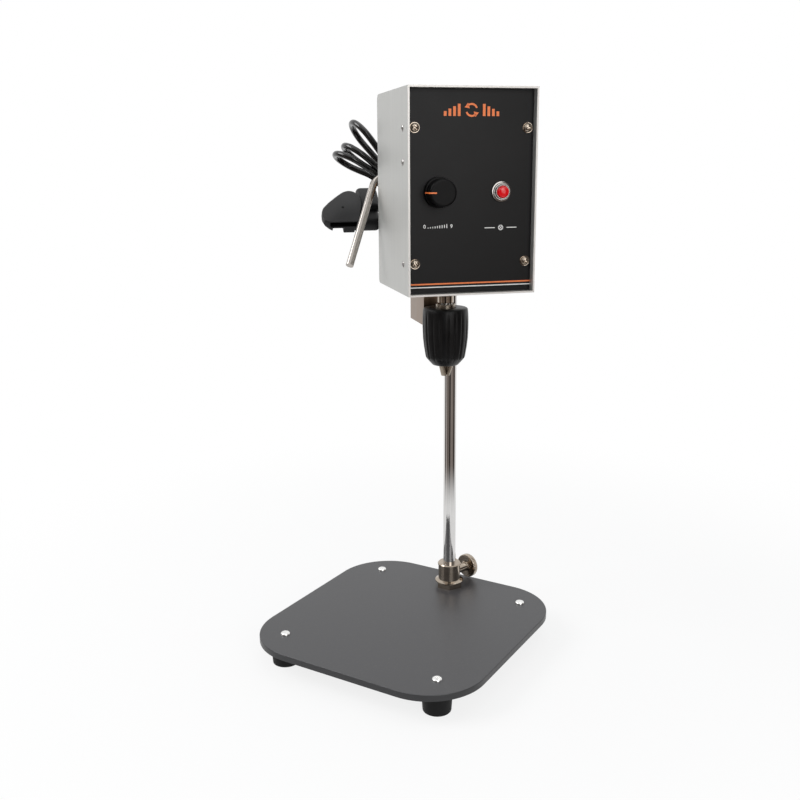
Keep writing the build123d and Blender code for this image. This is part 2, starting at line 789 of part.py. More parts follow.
with BuildPart() as clamp_bolts:
    for x, z in clamp_bolt_places:
        turned(
            along(spot(x, case_back - sheet, z), -head_y),
            (
                (-sheet - clamp_web_thickness + 1.0, 0),
                (-sheet - clamp_web_thickness + 1.0, clamp_bolt_diameter / 2),
                (0, clamp_bolt_diameter / 2),
                (0, clamp_bolt_head_diameter / 2),
                (1.0, clamp_bolt_head_diameter / 2),
                (clamp_bolt_head_height, clamp_bolt_head_diameter / 2 - 2.0),
                (clamp_bolt_head_height, 1.6),
                (1.0, 1.6),
                (1.0, 0),
            ),
        )

lever_tip_x = -column_radius - lever_tip_gap
lever_end = spot(lever_elbow_x - lever_reach_left, -lever_reach_front, lever_height - lever_drop)
lever_elbow = spot(lever_elbow_x, 0, lever_height)
lever_hub_x = -clamp_left - 18.0
with BuildPart() as clamp_lever:
    turned(
        along(spot(lever_tip_x, 0, lever_height), -head_x),
        (
            (0, 0),
            (0, lever_screw_diameter / 2 - 1.5),
            (2.0, lever_screw_diameter / 2),
            (lever_tip_x - lever_hub_x, lever_screw_diameter / 2),
            (lever_tip_x - lever_hub_x, 0),
        ),
    )
    with BuildLine() as lever_path:
        lever_root = spot(lever_hub_x, 0, lever_height)
        FilletPolyline(lever_root, lever_elbow, lever_end, radius=lever_elbow_radius)
    with BuildSketch(Plane(origin=lever_path.line @ 0, z_dir=lever_path.line % 0)):
        Circle(lever_rod_diameter / 2)
    sweep()

# ======================================================================================
# Motor and spindle
# ======================================================================================
case_floor = case_bottom + sheet
motor_bottom = case_floor + motor_plate_thickness
spindle_foot = spot(case_shift, spindle_y, 0)
nose_bottom = case_bottom - nose_length
bearing_radius = bearing_outer / 2
shaft_radius = motor_shaft_diameter / 2
can_bottom = motor_bottom + end_bell_height
can_top = can_bottom + motor_can_height

with BuildPart() as motor_plate:
    with BuildSketch(head.offset(case_floor)):
        with Locations((case_shift, spindle_y)):
            RectangleRounded(motor_plate_width, motor_plate_depth, 6.0)
            Circle(nose_diameter / 2 + running_clearance, mode=Mode.SUBTRACT)
            with GridLocations(motor_screw_spacing_x, motor_screw_spacing_y, 2, 2):
                Circle(motor_screw_diameter / 2 + running_clearance, mode=Mode.SUBTRACT)
    extrude(amount=motor_plate_thickness)

with BuildPart() as motor_plate_screws:
    for dx in (-motor_screw_spacing_x / 2, motor_screw_spacing_x / 2):
        for dy in (-motor_screw_spacing_y / 2, motor_screw_spacing_y / 2):
            turned(
                upright(spot(case_shift + dx, spindle_y + dy, case_bottom)),
                (
                    (-2.4, 0),
                    (-2.4, 2.2),
                    (-1.6, 3.4),
                    (0, 3.8),
                    (0, motor_screw_diameter / 2),
                    (sheet + motor_plate_thickness + 4.0, motor_screw_diameter / 2),
                    (sheet + motor_plate_thickness + 4.0, 0),
                ),
            )

with BuildPart() as spindle_nose:
    turned(
        upright(spindle_foot),
        (
            (nose_bottom, shaft_radius + 0.4),
            (nose_bottom, nose_diameter / 2 - 0.5),
            (nose_bottom + 0.5, nose_diameter / 2),
            (motor_bottom, nose_diameter / 2),
            (motor_bottom, shaft_radius + 0.4),
        ),
    )

with BuildPart() as motor_lower_bell:
    turned(
        upright(spindle_foot),
        (
            (motor_bottom, shaft_radius + 1.0),
            (motor_bottom, motor_diameter / 2),
            (can_bottom, motor_diameter / 2),
            (can_bottom, bearing_radius + 6.0),
            (motor_bottom + 3.0, bearing_radius + 6.0),
            (motor_bottom + 3.0, bearing_radius + 3.0),
            (motor_bottom + 3.0 + bearing_width, bearing_radius + 3.0),
            (motor_bottom + 3.0 + bearing_width, bearing_radius),
            (motor_bottom + 3.0, bearing_radius),
            (motor_bottom + 3.0, shaft_radius + 1.0),
        ),
    )

with BuildPart() as motor_can:
    turned(
        upright(spindle_foot),
        (
            (can_bottom, motor_diameter / 2 - motor_wall),
            (can_bottom, motor_diameter / 2),
            (can_top, motor_diameter / 2),
            (can_top, motor_diameter / 2 - motor_wall),
        ),
    )

with BuildPart() as motor_upper_bell:
    turned(
        upright(spindle_foot),
        (
            (can_top, bearing_radius + 6.0),
            (can_top, motor_diameter / 2),
            (can_top + end_bell_height - 3.0, motor_diameter / 2),
            (can_top + end_bell_height, motor_diameter / 2 - 3.0),
            (can_top + end_bell_height, shaft_radius + 1.0),
            (can_top + end_bell_height - 3.0, shaft_radius + 1.0),
            (can_top + end_bell_height - 3.0, bearing_radius),
            (can_top + end_bell_height - 3.0 - bearing_width, bearing_radius),
            (can_top + end_bell_height - 3.0 - bearing_width, bearing_radius + 3.0),
            (can_top + end_bell_height - 3.0, bearing_radius + 3.0),
            (can_top + end_bell_height - 3.0, bearing_radius + 6.0),
        ),
    )

lower_bearing_z = motor_bottom + 3.0
upper_bearing_z = can_top + end_bell_height - 3.0 - bearing_width
with BuildPart() as motor_bearings:
    for bearing_z in (lower_bearing_z, upper_bearing_z):
        turned(
            upright(spindle_foot),
            (
                (bearing_z, shaft_radius + running_clearance),
                (bearing_z, bearing_radius),
                (bearing_z + bearing_width, bearing_radius),
                (bearing_z + bearing_width, shaft_radius + running_clearance),
            ),
        )

stator_bottom = can_bottom + 2.0
with BuildPart() as stator:
    turned(
        upright(spindle_foot),
        (
            (stator_bottom, stator_bore / 2),
            (stator_bottom, motor_diameter / 2 - motor_wall),
            (stator_bottom + stator_height, motor_diameter / 2 - motor_wall),
            (stator_bottom + stator_height, stator_bore / 2),
        ),
    )

shaft_bottom = nose_bottom - 14.0
fan_bottom = can_top + end_bell_height + 2.0
shaft_top = fan_bottom + fan_height
with BuildPart() as motor_shaft:
    with BuildSketch(head.offset(shaft_bottom)):
        with Locations((case_shift, spindle_y)):
            Circle(shaft_radius)
    extrude(amount=shaft_top - shaft_bottom)
    chamfer(motor_shaft.edges(), 0.5)

armature_bottom = stator_bottom + (stator_height - armature_height) / 2
with BuildPart() as armature:
    with BuildSketch(head.offset(armature_bottom)):
        with Locations((case_shift, spindle_y)):
            Circle(armature_diameter / 2)
            Circle(shaft_radius, mode=Mode.SUBTRACT)
            with PolarLocations(armature_diameter / 2, 12):
                Rectangle(8.0, 2.2, mode=Mode.SUBTRACT)
    extrude(amount=armature_height)

commutator_bottom = stator_bottom + stator_height + 1.0
with BuildPart() as commutator:
    with BuildSketch(head.offset(commutator_bottom)):
        with Locations((case_shift, spindle_y)):
            Circle(commutator_diameter / 2)
            Circle(shaft_radius, mode=Mode.SUBTRACT)
    extrude(amount=commutator_height)

with BuildPart() as carbon_brushes:
    with BuildSketch(head.offset(commutator_bottom + 2.0)):
        with Locations((case_shift, spindle_y)):
            with PolarLocations(commutator_diameter / 2 + moving_gap + brush_length / 2, 2):
                Rectangle(brush_length, brush_width)
    extrude(amount=brush_width)

with BuildPart() as brush_holders:
    with BuildSketch(head.offset(commutator_bottom + 1.0)):
        with Locations((case_shift, spindle_y)):
            with PolarLocations(motor_diameter / 2 - motor_wall - 8.0, 2):
                Rectangle(14.0, brush_width + 3.0)
    extrude(amount=brush_width + 2.0)
    with BuildSketch(head.offset(commutator_bottom + 2.0)):
        with Locations((case_shift, spindle_y)):
            with PolarLocations(commutator_diameter / 2 + moving_gap + brush_length / 2, 2):
                Rectangle(brush_length, brush_width)
    extrude(amount=brush_width, mode=Mode.SUBTRACT)

with BuildPart() as cooling_fan:
    with BuildSketch(head.offset(fan_bottom)):
        with Locations((case_shift, spindle_y)):
            Circle(fan_diameter / 2)
            Circle(shaft_radius, mode=Mode.SUBTRACT)
    extrude(amount=1.2)
    with BuildSketch(head.offset(fan_bottom)):
        with Locations((case_shift, spindle_y)):
            Circle(shaft_radius + 3.0)
            Circle(shaft_radius, mode=Mode.SUBTRACT)
            with PolarLocations(fan_diameter / 4 + 3.0, fan_blades):
                Rectangle(fan_diameter / 2 - 8.0, 1.2, rotation=12)
    extrude(amount=fan_height - 1.0)

# ======================================================================================
# Keyless chuck
# ======================================================================================
collar_top = nose_bottom - chuck_gap
sleeve_top = collar_top - chuck_collar_height
sleeve_bottom = sleeve_top - sleeve_length
jaw_tip_z = sleeve_bottom - jaw_drop
cavity_top = sleeve_top - sleeve_top_wall
nose_cone_top = sleeve_bottom + 7.0
cavity_bottom = jaw_tip_z + 25.0
body_radius = chuck_body_diameter / 2
nose_radius = chuck_nose_diameter / 2
cavity_radius = sleeve_cavity_diameter / 2
jaw_slope = math.tan(math.radians(jaw_tilt))
jaw_half = jaw_diameter / 2 / math.cos(math.radians(jaw_tilt))
nut_bottom = jaw_tip_z + 25.3
nut_top = nut_bottom + chuck_nut_height
nut_radius = jaw_tip_offset + (nut_top - jaw_tip_z) * jaw_slope + jaw_half + 0.1
jaw_bores = 3


def jaw_line(turn):
    """Axis of one jaw: from its tip, up and outwards."""
    outwards = head_x.rotate(Axis.Z, turn)
    tip = spindle_foot + outwards * jaw_tip_offset + UP * jaw_tip_z
    return Plane(origin=tip, x_dir=UP.cross(outwards), z_dir=UP + outwards * jaw_slope)


jaw_turns = [90 + 120 * k for k in range(jaw_bores)]
with BuildPart() as chuck_body:
    turned(
        upright(spindle_foot),
        (
            (sleeve_bottom + 0.4, 0),
            (sleeve_bottom + 0.4, nose_radius - 1.0),
            (sleeve_bottom + 1.4, nose_radius),
            (sleeve_bottom + 2.0, nose_radius),
            (nose_cone_top, body_radius),
            (nut_bottom - moving_gap, body_radius),
            (nut_bottom - moving_gap, nut_radius - 2.6),
            (nut_top + moving_gap, nut_radius - 2.6),
            (nut_top + moving_gap, body_radius),
            (cavity_top - 1.0, body_radius),
            (cavity_top - 1.0, chuck_collar_diameter / 2),
            (collar_top - 0.6, chuck_collar_diameter / 2),
            (collar_top, chuck_collar_diameter / 2 - 0.6),
            (collar_top, 0),
        ),
    )
    with BuildSketch(head.offset(shaft_bottom)):
        with Locations((case_shift, spindle_y)):
            Circle(shaft_radius + running_clearance)
    extrude(amount=collar_top - shaft_bottom, mode=Mode.SUBTRACT)
    with BuildSketch(head.offset(sleeve_bottom)):
        with Locations((case_shift, spindle_y)):
            Circle(5.2)
    extrude(amount=shaft_bottom - 2.0 - sleeve_bottom, mode=Mode.SUBTRACT)
    for turn in jaw_turns:
        with BuildSketch(jaw_line(turn)):
            Circle(jaw_diameter / 2 + running_clearance)
        extrude(amount=sleeve_length, mode=Mode.SUBTRACT)

with BuildPart() as chuck_sleeve:
    turned(
        upright(spindle_foot),
        (
            (sleeve_bottom, sleeve_mouth_diameter / 2),
            (sleeve_bottom, sleeve_mouth_diameter / 2 + 1.6),
            (sleeve_bottom + sleeve_low_height, sleeve_low_diameter / 2),
            (sleeve_top - sleeve_waist_drop, sleeve_diameter / 2),
            (sleeve_top - 6.0, sleeve_diameter / 2 - 0.3),
            (sleeve_top - 2.4, sleeve_diameter / 2 - 1.5),
            (sleeve_top - 0.6, sleeve_diameter / 2 - 3.9),
            (sleeve_top, sleeve_diameter / 2 - 6.5),
            (sleeve_top, chuck_collar_diameter / 2 + moving_gap),
            (cavity_top, chuck_collar_diameter / 2 + moving_gap),
            (cavity_top, cavity_radius),
            (cavity_bottom, cavity_radius),
            (cavity_bottom, body_radius + moving_gap),
            (nose_cone_top, body_radius + moving_gap),
            (sleeve_bottom + 2.0, nose_radius + moving_gap),
            (sleeve_bottom, nose_radius + moving_gap),
        ),
    )
    with BuildSketch(head.offset(sleeve_bottom)):
        with Locations((case_shift, spindle_y)):
            flute_circle = sleeve_diameter / 2 + flute_radius - flute_depth
            with PolarLocations(flute_circle, sleeve_flutes, start_angle=15):
                Circle(flute_radius)
    extrude(amount=sleeve_length - 5.0, mode=Mode.SUBTRACT)

with BuildPart() as chuck_nut:
    turned(
        upright(spindle_foot),
        (
            (nut_bottom, nut_radius),
            (nut_bottom, cavity_radius),
            (nut_top, cavity_radius),
            (nut_top, nut_radius),
        ),
    )

jaw_pieces = {}
for number, turn in enumerate(jaw_turns, 1):
    with BuildPart() as jaw:
        with BuildSketch(jaw_line(turn).offset(-4.0)):
            Circle(jaw_diameter / 2)
        extrude(amount=jaw_length + 4.0)
        with BuildSketch(Plane(origin=spindle_foot + UP * jaw_tip_z, x_dir=head_x.rotate(Axis.Z, turn))):
            with BuildLine():
                Polyline(
                    (jaw_gap, 0),
                    (30 * math.cos(math.radians(60)) + jaw_gap, 30 * math.sin(math.radians(60))),
                    (40, 0),
                    (30 * math.cos(math.radians(60)) + jaw_gap, -30 * math.sin(math.radians(60))),
                    close=True,
                )
            make_face()
        extrude(amount=jaw_length + 10, mode=Mode.INTERSECT)
    jaw_pieces[number] = jaw

# ======================================================================================
# Speed control board
# ======================================================================================
board_front = panel_back + board_panel_gap
board_back = spindle_y - motor_diameter / 2 - board_motor_gap
board_width = board_back - board_front
board_y = (board_front + board_back) / 2
board_z = case_floor + board_height
with BuildPart() as control_board:
    with BuildSketch(head.offset(board_z)):
        with Locations((case_shift, board_y)):
            Rectangle(board_length, board_width)
            with GridLocations(board_length - 2 * board_hole_inset, board_width - 2 * board_hole_inset, 2, 2):
                Circle(1.7, mode=Mode.SUBTRACT)
    extrude(amount=board_thickness)

with BuildPart() as board_standoffs:
    with BuildSketch(head.offset(case_floor)):
        with Locations((case_shift, board_y)):
            with GridLocations(board_length - 2 * board_hole_inset, board_width - 2 * board_hole_inset, 2, 2):
                Circle(standoff_diameter / 2)
    extrude(amount=board_height)

with BuildPart() as board_parts:
    with BuildSketch(head.offset(board_z + board_thickness)):
        with Locations((case_shift - 24, board_y)):
            Rectangle(26, 3)
            with GridLocations(5.0, 1, 6, 1):
                Rectangle(1.4, 18)
    extrude(amount=22)

    with BuildSketch(head.offset(board_z + board_thickness)):
        with Locations((case_shift + 6, board_y + 4), (case_shift + 20, board_y + 4)):
            Circle(5.0)
    extrude(amount=16)

# ======================================================================================
# Cord, gland and plug
# ======================================================================================
gland_seat = spot(gland_x, case_back, gland_z)
relief_radius = gland_flange_diameter / 2 - 2
with BuildPart() as strain_relief:
    turned(
        along(gland_seat, head_y),
        (
            (-sheet, 0),
            (-sheet, relief_radius),
            (0, relief_radius),
            (0, gland_flange_diameter / 2),
            (3.0, gland_flange_diameter / 2),
            (3.6, gland_flange_diameter / 2 - 0.8),
            (4.2, relief_radius),
            (relief_length, relief_tip_diameter / 2),
            (relief_length, 0),
        ),
    )

with BuildPart() as gland_nut:
    with BuildSketch(facing_front(gland_x, case_back - sheet, gland_z)):
        RegularPolygon(gland_flange_diameter / 2 + 1.0, 6, major_radius=False)
    extrude(amount=4.0)


def arc_points(centre, start, end, turn, corners):
    """Corner points of a run that goes round a quarter turn in short straight pieces."""
    step = turn / corners
    reach = 1 / math.cos(math.radians(step / 2))
    points = []
    for k in range(corners):
        angle = math.radians((k + 0.5) * step)
        points.append(centre + start * math.cos(angle) * reach + end * math.sin(angle) * reach)
    return points


def cord_tube(points):
    """Round tube along straight runs joined by tangent arcs."""
    runs = [after - before for before, after in zip(points, points[1:])]
    room = [run.length for run in runs]
    room[0] *= 2
    room[-1] *= 2
    radii = []
    for k in range(len(runs) - 1):
        half = math.radians(runs[k].get_angle(runs[k + 1])) / 2
        radii.append(0.45 * min(room[k], room[k + 1]) / math.tan(half))
    print("cord arcs", [round(radius, 1) for radius in radii])
    with BuildLine() as path:
        FilletPolyline(*points, radius=radii)
    with BuildSketch(Plane(origin=path.line @ 0, z_dir=path.line % 0), mode=Mode.PRIVATE) as section:
        Circle(cord_diameter / 2)
    sweep(section.sketch, path=path.line)
    return sum(edge.length for edge in path.edges())


lead_start = spot(gland_x, case_back + relief_length, gland_z)
lead_centre = lead_start + UP * cord_bend_radius
lead_points = [
    lead_start,
    *arc_points(lead_centre, UP * -cord_bend_radius, head_y * cord_bend_radius, 90, 3),
    lead_centre + head_y * cord_bend_radius,
]
with BuildPart() as power_cord_lead:
    lead_length = cord_tube(lead_points)



def hank_leaf(root, tip, width):
    """One loop's shape: a flat leaf from the tied waist to its folded end."""
    reach = math.dist(root, tip)
    lean = head_x * ((tip[0] - root[0]) / reach) + UP * ((tip[1] - root[1]) / reach)
    leaf_plane = Plane(origin=spot(root[0], hank_middle, root[1]), x_dir=lean, z_dir=lean.cross(head_y))
    waist_depth = hank_waist_back - hank_waist_front
    with BuildSketch(leaf_plane, mode=Mode.PRIVATE) as leaf:
        with Locations((reach - hank_fold_radius, 0)):
            Circle(hank_fold_radius + cord_diameter / 2)
        with Locations((0, (hank_waist_front + hank_waist_back) / 2 - hank_middle)):
            Rectangle(2.0, waist_depth)
        make_hull()
    extrude(leaf.sketch, amount=width / 2, both=True)


hank_centre_x = (hank_columns[0] + hank_columns[-1]) / 2
hank_centre_y = (hank_waist_front + hank_waist_back) / 2
hank_width = hank_columns[-1] - hank_columns[0] + cord_diameter + 0.2
waist_low = hank_waist_z - hank_waist_height / 2
with BuildPart() as cord_hank:
    for column, lift, tip in zip(hank_columns, hank_lifts, hank_tips):
        hank_leaf((column, hank_waist_z + lift), tip, hank_loop_width)
    hank_leaf((hank_centre_x, hank_waist_z), (hank_centre_x, hank_foot_z), hank_width)
    with BuildSketch(head.offset(waist_low)):
        with Locations((hank_centre_x, hank_centre_y)):
            Rectangle(hank_width, hank_waist_back - hank_waist_front)
    extrude(amount=hank_waist_height)
    with BuildSketch(head.offset(hank_waist_z - tie_width / 2 - moving_gap)):
        with Locations((hank_centre_x, hank_centre_y)):
            Rectangle(3 * hank_width, 3 * hank_width)
            Rectangle(hank_width, hank_waist_back - hank_waist_front, mode=Mode.SUBTRACT)
    extrude(amount=tie_width + 2 * moving_gap, mode=Mode.SUBTRACT)

with BuildPart() as cord_tie:
    with BuildSketch(head.offset(hank_waist_z - tie_width / 2)):
        with Locations((hank_centre_x, hank_centre_y)):
            Rectangle(
                hank_width + 2 * tie_thickness,
                hank_waist_back - hank_waist_front + 2 * tie_thickness,
            )
            Rectangle(hank_width, hank_waist_back - hank_waist_front, mode=Mode.SUBTRACT)
    extrude(amount=tie_width)

plug_face = Plane(
    origin=spot(*plug_corner),
    x_dir=head_x,
    z_dir=(head_y * -1).rotate(Axis((0, 0, 0), head_x), -plug_tilt),
)


def in_plug(a, b, depth):
    """A point of the plug: across its face, up it, and down through it."""
    return plug_face.from_local_coords(Vector(a, b, -depth))


with BuildPart() as plug_body:
    with BuildSketch(plug_face):
        with BuildLine():
            Polyline(*plug_outline, close=True)
        make_face()
    extrude(amount=-plug_plate_depth)
    fillet(plug_body.edges().filter_by(Axis(plug_face.origin, plug_face.z_dir)).sort_by(Axis.Z)[-5:], 4.0)
    with BuildSketch(plug_face.offset(-plug_plate_depth)):
        with Locations((3.0, 8.0)):
            RectangleRounded(5.0, 26.0, 1.5)
        with Locations((25.0, 2.5)):
            RectangleRounded(13.0, 7.0, 1.5)
    extrude(amount=-(plug_skirt_depth - plug_plate_depth))
    with BuildSketch(plug_face.offset(-2.5)):
        with Locations((24.0, -2.0)):
            Rectangle(26.0, 10.0)
    extrude(amount=-(plug_plate_depth - 4.0), mode=Mode.SUBTRACT)
    grip_plane = Plane(origin=in_plug(plug_grip_start, *plug_grip_exit), x_dir=plug_face.y_dir, z_dir=head_x)
    with BuildSketch(grip_plane):
        RectangleRounded(22.0, 18.0, 7.0)
    extrude(amount=plug_grip_length)
    with BuildSketch(plug_face):
        with Locations((21.0, 21.0)):
            Circle(1.3)
    extrude(amount=-3.0, mode=Mode.SUBTRACT)
    for a, b, radius, length in plug_pin_places:
        with BuildSketch(plug_face.offset(-plug_plate_depth)):
            with Locations((a, b)):
                Circle(radius)
        extrude(amount=plug_pin_root, mode=Mode.SUBTRACT)

with BuildPart() as plug_pins:
    for a, b, radius, length in plug_pin_places:
        turned(
            along(in_plug(a, b, plug_plate_depth), plug_face.z_dir * -1),
            (
                (-plug_pin_root, 0),
                (-plug_pin_root, radius),
                (length - 1.0, radius),
                (length, radius - 1.0),
                (length, 0),
            ),
        )

tail_start = in_plug(plug_grip_start + plug_grip_length, *plug_grip_exit)
tail_lift = math.radians(tail_rise)
tail_heading = head_y * -math.cos(tail_lift) + UP * math.sin(tail_lift)
tail_run = hank_columns[-1] - tail_bend_radius - head.to_local_coords(tail_start).X
tail_centre = tail_start + head_x * tail_run + tail_heading * tail_bend_radius
tail_points = [
    tail_start,
    *arc_points(tail_centre, tail_heading * -tail_bend_radius, head_x * tail_bend_radius, 90, 3),
    tail_centre + head_x * tail_bend_radius + tail_heading * tail_end_run,
]
with BuildPart() as power_cord_tail:
    tail_length = cord_tube(tail_points)

# ======================================================================================
# Labels and files
# ======================================================================================
pieces = {
    "base_plate": base_plate,
    "rubber_feet": rubber_feet,
    "foot_screws": foot_screws,
    "foot_nuts": foot_nuts,
    "column_boss": column_boss,
    "boss_lock_nut": boss_lock_nut,
    "boss_washer": boss_washer,
    "boss_base_nut": boss_base_nut,
    "thumb_screw": thumb_screw,
    "column_rod": column_rod,
    "case_wrap": case_wrap,
    "case_side_left": side_pieces["left"],
    "case_side_right": side_pieces["right"],
    "panel_brackets": panel_brackets,
    "side_rivets": side_rivets,
    "front_panel": front_panel,
    "panel_washers": panel_washers,
    "panel_screws": panel_screws,
    "speed_knob": speed_knob,
    "pot_shaft": pot_shaft,
    "pot_body": pot_body,
    "indicator_bezel": indicator_bezel,
    "indicator_lens": indicator_lens,
    "indicator_body": indicator_body,
    "control_nuts": control_nuts,
    "clamp_bracket": clamp_bracket,
    "clamp_bolts": clamp_bolts,
    "clamp_lever": clamp_lever,
    "motor_plate": motor_plate,
    "motor_plate_screws": motor_plate_screws,
    "spindle_nose": spindle_nose,
    "motor_lower_bell": motor_lower_bell,
    "motor_can": motor_can,
    "motor_upper_bell": motor_upper_bell,
    "motor_bearings": motor_bearings,
    "stator": stator,
    "motor_shaft": motor_shaft,
    "armature": armature,
    "commutator": commutator,
    "carbon_brushes": carbon_brushes,
    "brush_holders": brush_holders,
    "cooling_fan": cooling_fan,
    "chuck_body": chuck_body,
    "chuck_sleeve": chuck_sleeve,
    "chuck_nut": chuck_nut,
    "jaw_1": jaw_pieces[1],
    "jaw_2": jaw_pieces[2],
    "jaw_3": jaw_pieces[3],
    "control_board": control_board,
    "board_standoffs": board_standoffs,
    "board_parts": board_parts,
    "strain_relief": strain_relief,
    "gland_nut": gland_nut,
    "power_cord_lead": power_cord_lead,
    "cord_hank": cord_hank,
    "cord_tie": cord_tie,
    "power_cord_tail": power_cord_tail,
    "plug_body": plug_body,
    "plug_pins": plug_pins,
}

os.makedirs("parts", exist_ok=True)
for name, piece in pieces.items():
    piece.part.label = name
    export_step(piece.part, f"parts/{name}.step")
    print(name, len(piece.part.solids()), round(piece.part.volume))
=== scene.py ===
import math

import bmesh
import bpy
from mathutils import Matrix, Vector


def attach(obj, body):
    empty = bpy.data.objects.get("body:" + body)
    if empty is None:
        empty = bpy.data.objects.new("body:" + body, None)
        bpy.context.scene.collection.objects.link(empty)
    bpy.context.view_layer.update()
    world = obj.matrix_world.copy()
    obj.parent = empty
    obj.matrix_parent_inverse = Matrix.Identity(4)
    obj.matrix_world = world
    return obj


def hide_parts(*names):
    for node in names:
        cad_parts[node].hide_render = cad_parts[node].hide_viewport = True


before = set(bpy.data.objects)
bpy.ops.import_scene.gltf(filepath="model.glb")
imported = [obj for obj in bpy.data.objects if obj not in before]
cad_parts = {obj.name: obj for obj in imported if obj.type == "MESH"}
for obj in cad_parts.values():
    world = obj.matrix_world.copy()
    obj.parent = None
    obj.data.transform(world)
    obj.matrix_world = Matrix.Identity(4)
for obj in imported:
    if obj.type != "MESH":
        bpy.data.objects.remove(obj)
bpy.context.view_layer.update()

# ---- the head's own directions: x to the right of the panel, y to its back, z up -------
COLUMN = Vector((0.0, 0.088, 0.0))
HEAD = Matrix.Translation(COLUMN) @ Matrix.Rotation(math.radians(45), 4, "Z")
FACE_MIDDLE = -20.0  # the panel's upright middle line, in millimetres to the right of the column
CASE_BOTTOM = 350.0
KNOB_AT = (-48.0, 434.0)
LAMP_AT = (6.0, 434.0)
SQUARE = math.radians(90)


def on_head(x, y, z):
    """A point given in millimetres in the head's own directions."""
    return HEAD @ (Vector((x, y, z)) / 1000)


def paint(red, green, blue):
    """A colour given as it is seen, 0 to 255, as the shader wants it."""
    seen = [value / 255 for value in (red, green, blue)]
    return tuple(v / 12.92 if v <= 0.04045 else ((v + 0.055) / 1.055) ** 2.4 for v in seen) + (1.0,)


# ---- shared surface effects ------------------------------------------------------------
def new_effect(name, inputs, outputs):
    effect = bpy.data.node_groups.new(name, "ShaderNodeTree")
    for label, kind, value in inputs:
        socket = effect.interface.new_socket(name=label, in_out="INPUT", socket_type=kind)
        if value is not None:
            socket.default_value = value
    for label, kind in outputs:
        effect.interface.new_socket(name=label, in_out="OUTPUT", socket_type=kind)
    start = effect.nodes.new("NodeGroupInput")
    end = effect.nodes.new("NodeGroupOutput")
    return effect, start, end


def maths(tree, operation, first, second, clamp=False):
    node = tree.nodes.new("ShaderNodeMath")
    node.operation = operation
    node.use_clamp = clamp
    for socket, value in zip(node.inputs, (first, second)):
        if isinstance(value, (int, float)):
            socket.default_value = value
        else:
            tree.links.new(value, socket)
    return node.outputs[0]


def axes_of(tree, vector):
    """The X, Y and Z of a vector, each as a socket."""
    node = tree.nodes.new("ShaderNodeSeparateXYZ")
    tree.links.new(vector, node.inputs[0])
    return node.outputs


def ranged(tree, value, start, end, low=0.0, high=1.0, soft=False):
    """A value's way from start to end, given out as low to high."""
    node = tree.nodes.new("ShaderNodeMapRange")
    if soft:
        node.interpolation_type = "SMOOTHSTEP"
    for label, number in (("From Min", start), ("From Max", end), ("To Min", low), ("To Max", high)):
        node.inputs[label].default_value = number
    tree.links.new(value, node.inputs["Value"])
    return node.outputs[0]


def seen_where(tree):
    """The place on the object that a pattern is laid by."""
    return tree.nodes.new("ShaderNodeTexCoord").outputs["Object"]


def handling_marks():
    """Soft, uneven patches, as left by wiping, storing and handling."""
    effect, start, end = new_effect(
        "handling_marks",
        (
            ("Vector", "NodeSocketVector", None),
            ("Scale", "NodeSocketFloat", 20.0),
            ("Contrast", "NodeSocketFloat", 2.0),
        ),
        (("Mask", "NodeSocketFloat"),),
    )
    cloud = effect.nodes.new("ShaderNodeTexNoise")
    cloud.inputs["Detail"].default_value = 5.0
    cloud.inputs["Roughness"].default_value = 0.62
    cloud.inputs["Distortion"].default_value = 0.4
    effect.links.new(start.outputs["Vector"], cloud.inputs["Vector"])
    effect.links.new(start.outputs["Scale"], cloud.inputs["Scale"])
    centred = maths(effect, "SUBTRACT", cloud.outputs[0], 0.5)
    spread = maths(effect, "MULTIPLY", centred, start.outputs["Contrast"])
    effect.links.new(maths(effect, "ADD", spread, 0.5, clamp=True), end.inputs["Mask"])
    return effect


def fine_grain():
    """Small bumps of a sprayed or moulded skin."""
    effect, start, end = new_effect(
        "fine_grain",
        (("Vector", "NodeSocketVector", None), ("Scale", "NodeSocketFloat", 900.0)),
        (("Height", "NodeSocketFloat"),),
    )
    grain = effect.nodes.new("ShaderNodeTexNoise")
    grain.inputs["Detail"].default_value = 3.0
    grain.inputs["Roughness"].default_value = 0.5
    pits = effect.nodes.new("ShaderNodeTexVoronoi")
    pits.feature = "SMOOTH_F1"
    for node in (grain, pits):
        effect.links.new(start.outputs["Vector"], node.inputs["Vector"])
        effect.links.new(start.outputs["Scale"], node.inputs["Scale"])
    both = maths(effect, "ADD", grain.outputs[0], maths(effect, "MULTIPLY", pits.outputs["Distance"], 0.6))
    effect.links.new(both, end.inputs["Height"])
    return effect


def drawn_lines():
    """Long fine lines of rolled, drawn or turned metal. Stretch is small along the lines."""
    effect, start, end = new_effect(
        "drawn_lines",
        (
            ("Vector", "NodeSocketVector", None),
            ("Stretch", "NodeSocketVector", (1.0, 1.0, 0.02)),
            ("Scale", "NodeSocketFloat", 700.0),
        ),
        (("Height", "NodeSocketFloat"), ("Mask", "NodeSocketFloat")),
    )
    stretch = effect.nodes.new("ShaderNodeVectorMath")
    stretch.operation = "MULTIPLY"
    effect.links.new(start.outputs["Vector"], stretch.inputs[0])
    effect.links.new(start.outputs["Stretch"], stretch.inputs[1])
    lines = effect.nodes.new("ShaderNodeTexNoise")
    lines.inputs["Detail"].default_value = 4.0
    lines.inputs["Roughness"].default_value = 0.7
    effect.links.new(stretch.outputs[0], lines.inputs["Vector"])
    effect.links.new(start.outputs["Scale"], lines.inputs["Scale"])
    effect.links.new(lines.outputs[0], end.inputs["Height"])
    sharp = maths(effect, "MULTIPLY", maths(effect, "SUBTRACT", lines.outputs[0], 0.5), 2.6)
    effect.links.new(maths(effect, "ADD", sharp, 0.5, clamp=True), end.inputs["Mask"])
    return effect


